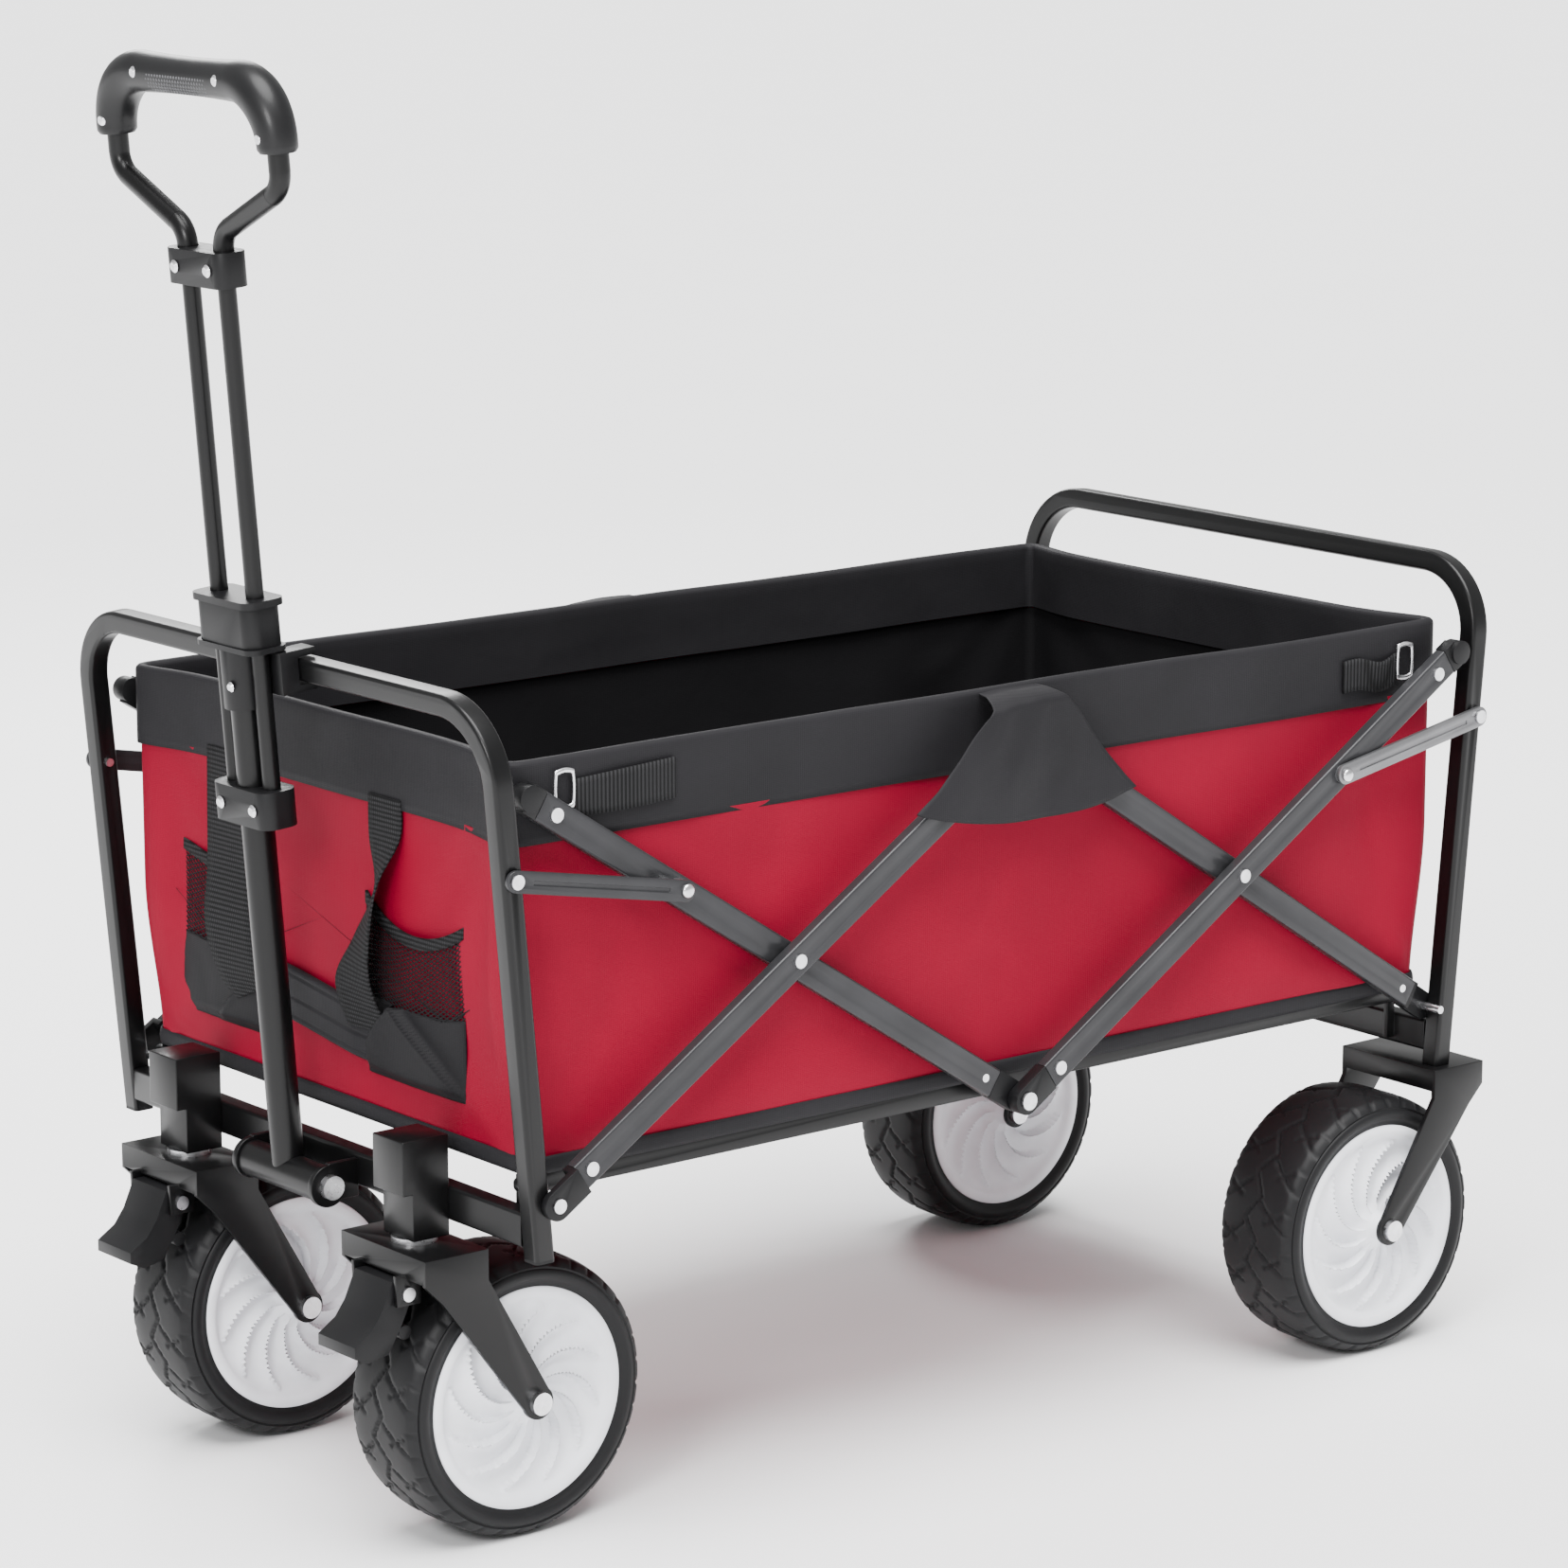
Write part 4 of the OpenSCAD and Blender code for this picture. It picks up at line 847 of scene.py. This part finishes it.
class WAGON_OT_straps(bpy.types.Operator):
    """Sews on the front straps, the hook-and-loop pad, the corner patches and the wire rings"""
    bl_idname = "wagon.straps"
    bl_label = "Straps and rings"

    THICKNESS = 0.0016
    WIRE_RADIUS, RING_RADIUS = 0.0012, 0.0085

    def strap(self, name, stations, cloth="webbing"):
        bm = bmesh.new()
        ribbon(bm, curve_through(stations, 34), 6)
        band = piece(name, bm, "tub", "dark_cloth", cloth)
        thicken(band, self.THICKNESS, 0.0)
        squash_with_fold(band)

    def ring(self, name, centre):
        bm = bmesh.new()
        section = bmesh.ops.create_circle(bm, segments=10, radius=self.WIRE_RADIUS)["verts"]
        bmesh.ops.translate(bm, vec=(self.RING_RADIUS, 0, 0), verts=section)
        bmesh.ops.spin(bm, geom=section + bm.edges[:], cent=(0, 0, 0), axis=(0, 1, 0), angle=math.tau,
                       steps=40, use_merge=True, use_duplicate=False)
        bmesh.ops.remove_doubles(bm, verts=bm.verts, dist=1e-6)
        for v in bm.verts:
            wide, tall = v.co.x / self.RING_RADIUS, v.co.z / self.RING_RADIUS
            size = max(0.2, math.hypot(wide, tall))
            square = (max(abs(wide), abs(tall)) / size) ** 0.7
            v.co = centre + Vector((v.co.x / square * 0.9, v.co.y, v.co.z / square * 1.5))
        loop = piece(name, bm, "tub", "zinc")
        squash_with_fold(loop)

    def execute(self, context):
        x = TUB_LOW.x
        half = 0.025
        self.strap("front_strap_left", [
            (x - 0.003, 0.124, 0.512, 0, -half, 0),
            (x - 0.0045, 0.123, 0.470, 0, -half, 0),
            (x - 0.008, 0.116, 0.430, 0.002, -half, 0.002),
            (x - 0.019, 0.102, 0.394, 0.004, -half * 0.95, 0.006),
            (x - 0.021, 0.088, 0.362, 0.002, -half * 0.8, 0.008),
            (x - 0.014, 0.080, 0.345, 0, -half * 0.75, 0.008),
        ])
        self.strap("front_strap_right", [
            (x - 0.003, -0.072, 0.510, 0, -half * 0.75, 0),
            (x - 0.004, -0.073, 0.482, 0, -half * 0.72, 0.002),
            (x - 0.010, -0.070, 0.448, -0.008, -half * 0.5, 0.004),
            (x - 0.017, -0.062, 0.412, -0.007, -half * 0.75, 0.004),
            (x - 0.018, -0.052, 0.378, -0.003, -half, 0.002),
            (x - 0.010, -0.060, 0.345, 0.002, -half * 0.9, 0.0),
        ])
        bm = bmesh.new()
        bmesh.ops.create_cube(bm, size=1)
        bmesh.ops.scale(bm, vec=(0.005, 0.136, 0.038), verts=bm.verts)
        rounded(bm, bm.edges[:], 0.002, 3)
        slice_along(bm, (0, 1, 0), steps_between(-0.068, 0.068, 0.003))
        slice_along(bm, (0, 0, 1), steps_between(-0.019, 0.019, 0.0012))
        for v in bm.verts:
            stitch = max(groove((abs(v.co.z - at) / MM), 1.1) for at in (-0.0145, -0.0015, 0.0145))
            if v.co.x < 0:
                v.co.x += 0.0011 * stitch - 0.0012 * smooth((0.056 - abs(v.co.y)) / 0.02)
            v.co.z += 0.0015 * math.sin(v.co.y * 30) + v.co.y * 0.09
            v.co += Vector((x - 0.0034, 0.004, 0.345))
        pad = piece("front_hook_strap", bm, "tub", "dark_cloth")
        squash_with_fold(pad)

        y = BAND_HIGH.y + 0.0016
        for side, sign in SIDES.items():
            self.strap(f"corner_patch_front_{side}", [
                (MID_X - 0.382, sign * (y + 0.0012), 0.531, 0, 0, 0.0125),
                (MID_X - 0.340, sign * (y + 0.0022), 0.532, 0, 0, 0.014),
                (MID_X - 0.298, sign * (y + 0.0010), 0.534, 0, 0, 0.014),
            ], cloth="webbing_along")
            self.strap(f"corner_patch_rear_{side}", [
                (MID_X + 0.384, sign * (y + 0.0014), 0.528, 0, 0, 0.012),
                (MID_X + 0.366, sign * (y + 0.0034), 0.524, 0, 0.001 * sign, 0.0115),
                (MID_X + 0.346, sign * (y + 0.0018), 0.528, 0, 0, 0.012),
                (MID_X + 0.330, sign * (y + 0.0010), 0.527, 0, 0, 0.012),
            ], cloth="webbing_along")
            self.ring(f"wire_ring_front_{side}", Vector((MID_X - 0.391, sign * (y + 0.0022), 0.538)))
            self.ring(f"wire_ring_rear_{side}", Vector((MID_X + 0.393, sign * (y + 0.0022), 0.533)))
        return {"FINISHED"}


# ---- Pull handle ----------------------------------------------------------------

HANDLE_LEAN = math.radians(4.55)


def pole_frame():
    """From handle coordinates (along the handle is +Z from its hinge) to the wagon's."""
    return Matrix.Translation(JOINT_AT["handle_tilt"]) @ Matrix.Rotation(-HANDLE_LEAN, 4, "Y")


def sweep(bm, stations, segments):
    """A round skin through (matrix, radius across, radius up) stations, open at both ends."""
    ring = bmesh.ops.create_circle(bm, segments=segments, radius=1)["verts"]
    edges = [e for e in bm.edges if e.verts[0] in ring]
    unit = [v.co.copy() for v in ring]
    for i, (matrix, wide, tall) in enumerate(stations):
        if i:
            grown = bmesh.ops.extrude_edge_only(bm, edges=edges)["geom"]
            fresh = [g for g in grown if isinstance(g, bmesh.types.BMVert)]
            edges = [g for g in grown if isinstance(g, bmesh.types.BMEdge)
                     and all(v in fresh for v in g.verts)]
            ring = [next(e.other_vert(v) for e in v.link_edges if e.other_vert(v) in fresh) for v in ring]
        for v, co in zip(ring, unit):
            v.co = matrix @ Vector((co.x * wide, co.y * tall, 0))


class WAGON_OT_handle(bpy.types.Operator):
    """Builds the hand grip with its screws and dots, and the collar's flanges"""
    bl_idname = "wagon.handle"
    bl_label = "Pull handle"

    SIDE, BEND, TOP, START = 98, 40, 765, 721
    BORE = 7.4
    RIVET_Y = 19.8

    def path(self, t):
        """Centre and direction of the grip's middle line, t in millimetres from its left end."""
        rise = self.TOP - self.BEND - self.START
        arc = self.BEND * math.pi / 2
        flat = 2 * (self.SIDE - self.BEND)
        if t < rise:
            return Vector((0, self.SIDE, self.START + t)), 0.0
        t -= rise
        if t < arc:
            a = t / self.BEND
            return Vector((0, self.SIDE - self.BEND + self.BEND * math.cos(a),
                           self.TOP - self.BEND + self.BEND * math.sin(a))), a
        t -= arc
        if t < flat:
            return Vector((0, self.SIDE - self.BEND - t, self.TOP)), math.pi / 2
        t -= flat
        if t < arc:
            a = t / self.BEND + math.pi / 2
            return Vector((0, self.BEND - self.SIDE + self.BEND * math.cos(a),
                           self.TOP - self.BEND + self.BEND * math.sin(a))), a
        return Vector((0, -self.SIDE, self.TOP - self.BEND - (t - arc))), math.pi

    def execute(self, context):
        to_wagon = pole_frame()
        rise = self.TOP - self.BEND - self.START
        length = 2 * rise + self.BEND * math.pi + 2 * (self.SIDE - self.BEND)
        stations = []
        count = 110
        for i in range(count + 1):
            t = length * i / count
            centre, turn = self.path(t)
            end = min(t, length - t)
            radius = 13.4 + 2.0 * math.exp(-((end - 42) / 30) ** 2) - 0.4 * smooth((end - 80) / 40)
            if end < 3:
                radius = 13.7 - 1.6 * (1 - smooth(end / 1.4))
            matrix = to_wagon @ Matrix.Translation(centre * MM) @ Matrix.Rotation(turn, 4, "X")
            stations.append((matrix, radius * MM, (radius - 0.2) * MM))
        bore = self.BORE * MM
        first, last = ((stations[i][0], bore, bore) for i in (0, -1))
        bm = bmesh.new()
        sweep(bm, [first] + stations + [last], 32)
        piece("hand_grip_shell", bm, "handle", "grip_plastic", stands_for=("hand_grip",), crease=45)

        bm = bmesh.new()
        for row, angle in enumerate((122, 134, 146, 158, 170, 182)):
            for k in range(22):
                t = length / 2 + (k - 10.5 + 0.5 * (row % 2)) * 3.3
                centre, turn = self.path(t)
                a = math.radians(angle)
                at = centre + Vector((math.cos(a) * 12.8, 0, math.sin(a) * -12.6))
                made = bmesh.ops.create_icosphere(bm, subdivisions=1, radius=0.0011)["verts"]
                bmesh.ops.translate(bm, vec=to_wagon @ (at * MM), verts=made)
        piece("hand_grip_dots", bm, "handle", "grip_plastic", "dots")

        bm = bmesh.new()
        for y, z in ((96, 731), (-96, 731), (50, 766), (-50, 766)):
            self.screw(bm, to_wagon, Vector((-13.6, y, z)), 4.4)
        piece("hand_grip_screws", bm, "handle", "zinc", crease=40)

        bm = bmesh.new()
        self.flange(bm, 73.0, 33.0, 408.5, 413.5, 9)
        self.flange(bm, 72.4, 32.4, 376.8, 380.5, 9)
        bmesh.ops.transform(bm, matrix=to_wagon, verts=bm.verts)
        piece("collar_flanges", bm, "pull_pole", "black_plastic", crease=50)

        bm = bmesh.new()
        self.screw(bm, to_wagon, Vector((-16.2, -6, 352)), 3.6)
        for y in (-self.RIVET_Y, self.RIVET_Y):
            self.screw(bm, to_wagon, Vector((-16.8, y, 267)), 4.4)
        piece("collar_rivets", bm, "pull_pole", "zinc", crease=40)

        bm = bmesh.new()
        for y in (-self.RIVET_Y, self.RIVET_Y):
            self.screw(bm, to_wagon, Vector((-14.4, y, 638)), 4.4)
        piece("clamp_rivets", bm, NODES["upper_clamp"]["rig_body"], "zinc", crease=40)
        return {"FINISHED"}

    def screw(self, bm, to_wagon, at, radius):
        """A flat-topped head on the front of the handle, with a low cross on it."""
        made = bmesh.ops.create_cone(bm, cap_ends=True, segments=20, radius1=radius * MM,
                                     radius2=radius * 0.62 * MM, depth=1.6 * MM)["verts"]
        bmesh.ops.rotate(bm, cent=(0, 0, 0), matrix=Matrix.Rotation(math.radians(-90), 3, "Y"), verts=made)
        bmesh.ops.transform(bm, matrix=to_wagon @ Matrix.Translation(at * MM), verts=made)
        for turn in (0, 90):
            bar = bmesh.ops.create_cube(bm, size=1)["verts"]
            bmesh.ops.scale(bm, vec=(0.3 * MM, radius * MM, 0.5 * MM), verts=bar)
            slot_turn = Matrix.Rotation(math.radians(turn + 20), 3, "X")
            bmesh.ops.rotate(bm, cent=(0, 0, 0), matrix=slot_turn, verts=bar)
            on_head = Matrix.Translation((at + Vector((-0.75, 0, 0))) * MM)
            bmesh.ops.transform(bm, matrix=to_wagon @ on_head, verts=bar)

    def flange(self, bm, width, depth, low, high, corner):
        """A rounded rectangular rim round a guide block."""
        made = bmesh.ops.create_cube(bm, size=1)["verts"]
        bmesh.ops.scale(bm, vec=(depth * MM, width * MM, (high - low) * MM), verts=made)
        bmesh.ops.translate(bm, vec=(0, 0, (low + high) / 2 * MM), verts=made)
        upright = [e for e in bm.edges if e.verts[0] in made
                   and abs(e.verts[0].co.z - e.verts[1].co.z) > 0.001]
        rounded(bm, upright, corner * MM, 6)


# ---- Stage -------------------------------------------------------------------

class WAGON_OT_stage(bpy.types.Operator):
    """Lays the pale floor, hangs the soft lights and sets the camera"""
    bl_idname = "wagon.stage"
    bl_label = "Stage"

    LIGHT_AIM = (MID_X, 0, 0.35)
    SUN_FROM = (-0.5, -0.9, 4.0)
    CAMERA_AT = (MID_X - 2.4387, -3.0142, 1.2629)
    CAMERA_AIM = (MID_X, 0, 0.4599)
    LENS, SHIFT_X, SHIFT_Y = 122.5, -0.0099, -0.0070

    def lamp(self, name, at, size, power):
        data = bpy.data.lights.new(name, "AREA")
        data.shape = "DISK"
        data.size = size
        data.energy = power
        lamp = bpy.data.objects.new(name, data)
        bpy.context.scene.collection.objects.link(lamp)
        lamp.location = at
        lamp.rotation_euler = (Vector(self.LIGHT_AIM) - Vector(at)).to_track_quat("-Z", "Y").to_euler()

    def execute(self, context):
        bm = bmesh.new()
        bmesh.ops.create_grid(bm, x_segments=1, y_segments=1, size=30)
        mesh = bpy.data.meshes.new("floor")
        bm.to_mesh(mesh)
        bm.free()
        floor = bpy.data.objects.new("floor", mesh)
        bpy.context.scene.collection.objects.link(floor)
        paper, tree, surface, place = shader("pale floor", (0.86, 0.86, 0.865), 0.6, specular=0.2)
        vary_roughness(tree, surface, noise_field(tree, place, 3), 0.55, 0.7)
        mesh.materials.append(paper)

        world = bpy.data.worlds.new("studio")
        world.use_nodes = True
        world.node_tree.nodes["Background"].inputs["Color"].default_value = (1, 1, 1, 1)
        world.node_tree.nodes["Background"].inputs["Strength"].default_value = 0.75
        context.scene.world = world
        sun = bpy.data.lights.new("sun", "SUN")
        sun.energy = 9.0
        sun.angle = math.radians(50)
        high = bpy.data.objects.new("sun", sun)
        context.scene.collection.objects.link(high)
        down = Vector(self.LIGHT_AIM) - Vector(self.SUN_FROM)
        high.rotation_euler = down.to_track_quat("-Z", "Y").to_euler()
        self.lamp("key", (-2.6, -1.6, 1.9), 0.9, 70)
        self.lamp("edge", (1.0, 2.6, 2.2), 1.2, 60)

        data = bpy.data.cameras.new("camera")
        data.sensor_width = 36
        data.lens = self.LENS
        data.shift_x = self.SHIFT_X
        data.shift_y = self.SHIFT_Y
        data.clip_end = 100
        camera = bpy.data.objects.new("camera", data)
        context.scene.collection.objects.link(camera)
        camera.location = self.CAMERA_AT
        way = Vector(self.CAMERA_AIM) - camera.location
        camera.rotation_euler = way.to_track_quat("-Z", "Y").to_euler()
        context.scene.camera = camera
        return {"FINISHED"}


# ---- Add-on ------------------------------------------------------------------

class WagonLook(bpy.types.PropertyGroup):
    """Colours that a user would change"""
    tub_color: bpy.props.FloatVectorProperty(
        name="Tub", description="Colour of the tub's cloth", subtype="COLOR",
        default=(0.19, 0.0005, 0.015), min=0, max=1)
    band_color: bpy.props.FloatVectorProperty(
        name="Band", description="Colour of the rim band and the covers", subtype="COLOR",
        default=(0.0135, 0.013, 0.0145), min=0, max=1)
    frame_color: bpy.props.FloatVectorProperty(
        name="Frame", description="Colour of the hoops and forks", subtype="COLOR",
        default=(0.0028, 0.0028, 0.003), min=0, max=1)
    bar_color: bpy.props.FloatVectorProperty(
        name="Bars", description="Colour of the scissor bars", subtype="COLOR",
        default=(0.026, 0.026, 0.028), min=0, max=1)
    disc_color: bpy.props.FloatVectorProperty(
        name="Wheel discs", description="Colour of the wheel discs", subtype="COLOR",
        default=(0.80, 0.81, 0.85), min=0, max=1)


OPERATORS = (
    WAGON_OT_stage, WAGON_OT_frame, WAGON_OT_wheels, WAGON_OT_tub, WAGON_OT_band, WAGON_OT_mat,
    WAGON_OT_covers, WAGON_OT_pockets, WAGON_OT_straps, WAGON_OT_handle,
)


class WAGON_PT_panel(bpy.types.Panel):
    """Lists the wagon's builders and colours"""
    bl_label = "Folding camp wagon"
    bl_idname = "WAGON_PT_panel"
    bl_space_type = "VIEW_3D"
    bl_region_type = "UI"
    bl_category = "Wagon"

    def draw(self, context):
        look = context.scene.wagon_look
        for name in ("tub_color", "band_color", "frame_color", "bar_color", "disc_color"):
            self.layout.prop(look, name)
        for operator in OPERATORS:
            self.layout.operator(operator.bl_idname)


CLASSES = (WagonLook, *OPERATORS, WAGON_PT_panel)


def register():
    for cls in CLASSES:
        bpy.utils.register_class(cls)
    bpy.types.Scene.wagon_look = bpy.props.PointerProperty(type=WagonLook)


def unregister():
    del bpy.types.Scene.wagon_look
    for cls in reversed(CLASSES):
        bpy.utils.unregister_class(cls)


def main():
    register()
    PAINT.update(build_materials())
    for operator in OPERATORS:
        group, action = operator.bl_idname.split(".")
        getattr(getattr(bpy.ops, group), action)()


if __name__ == "__main__":
    main()
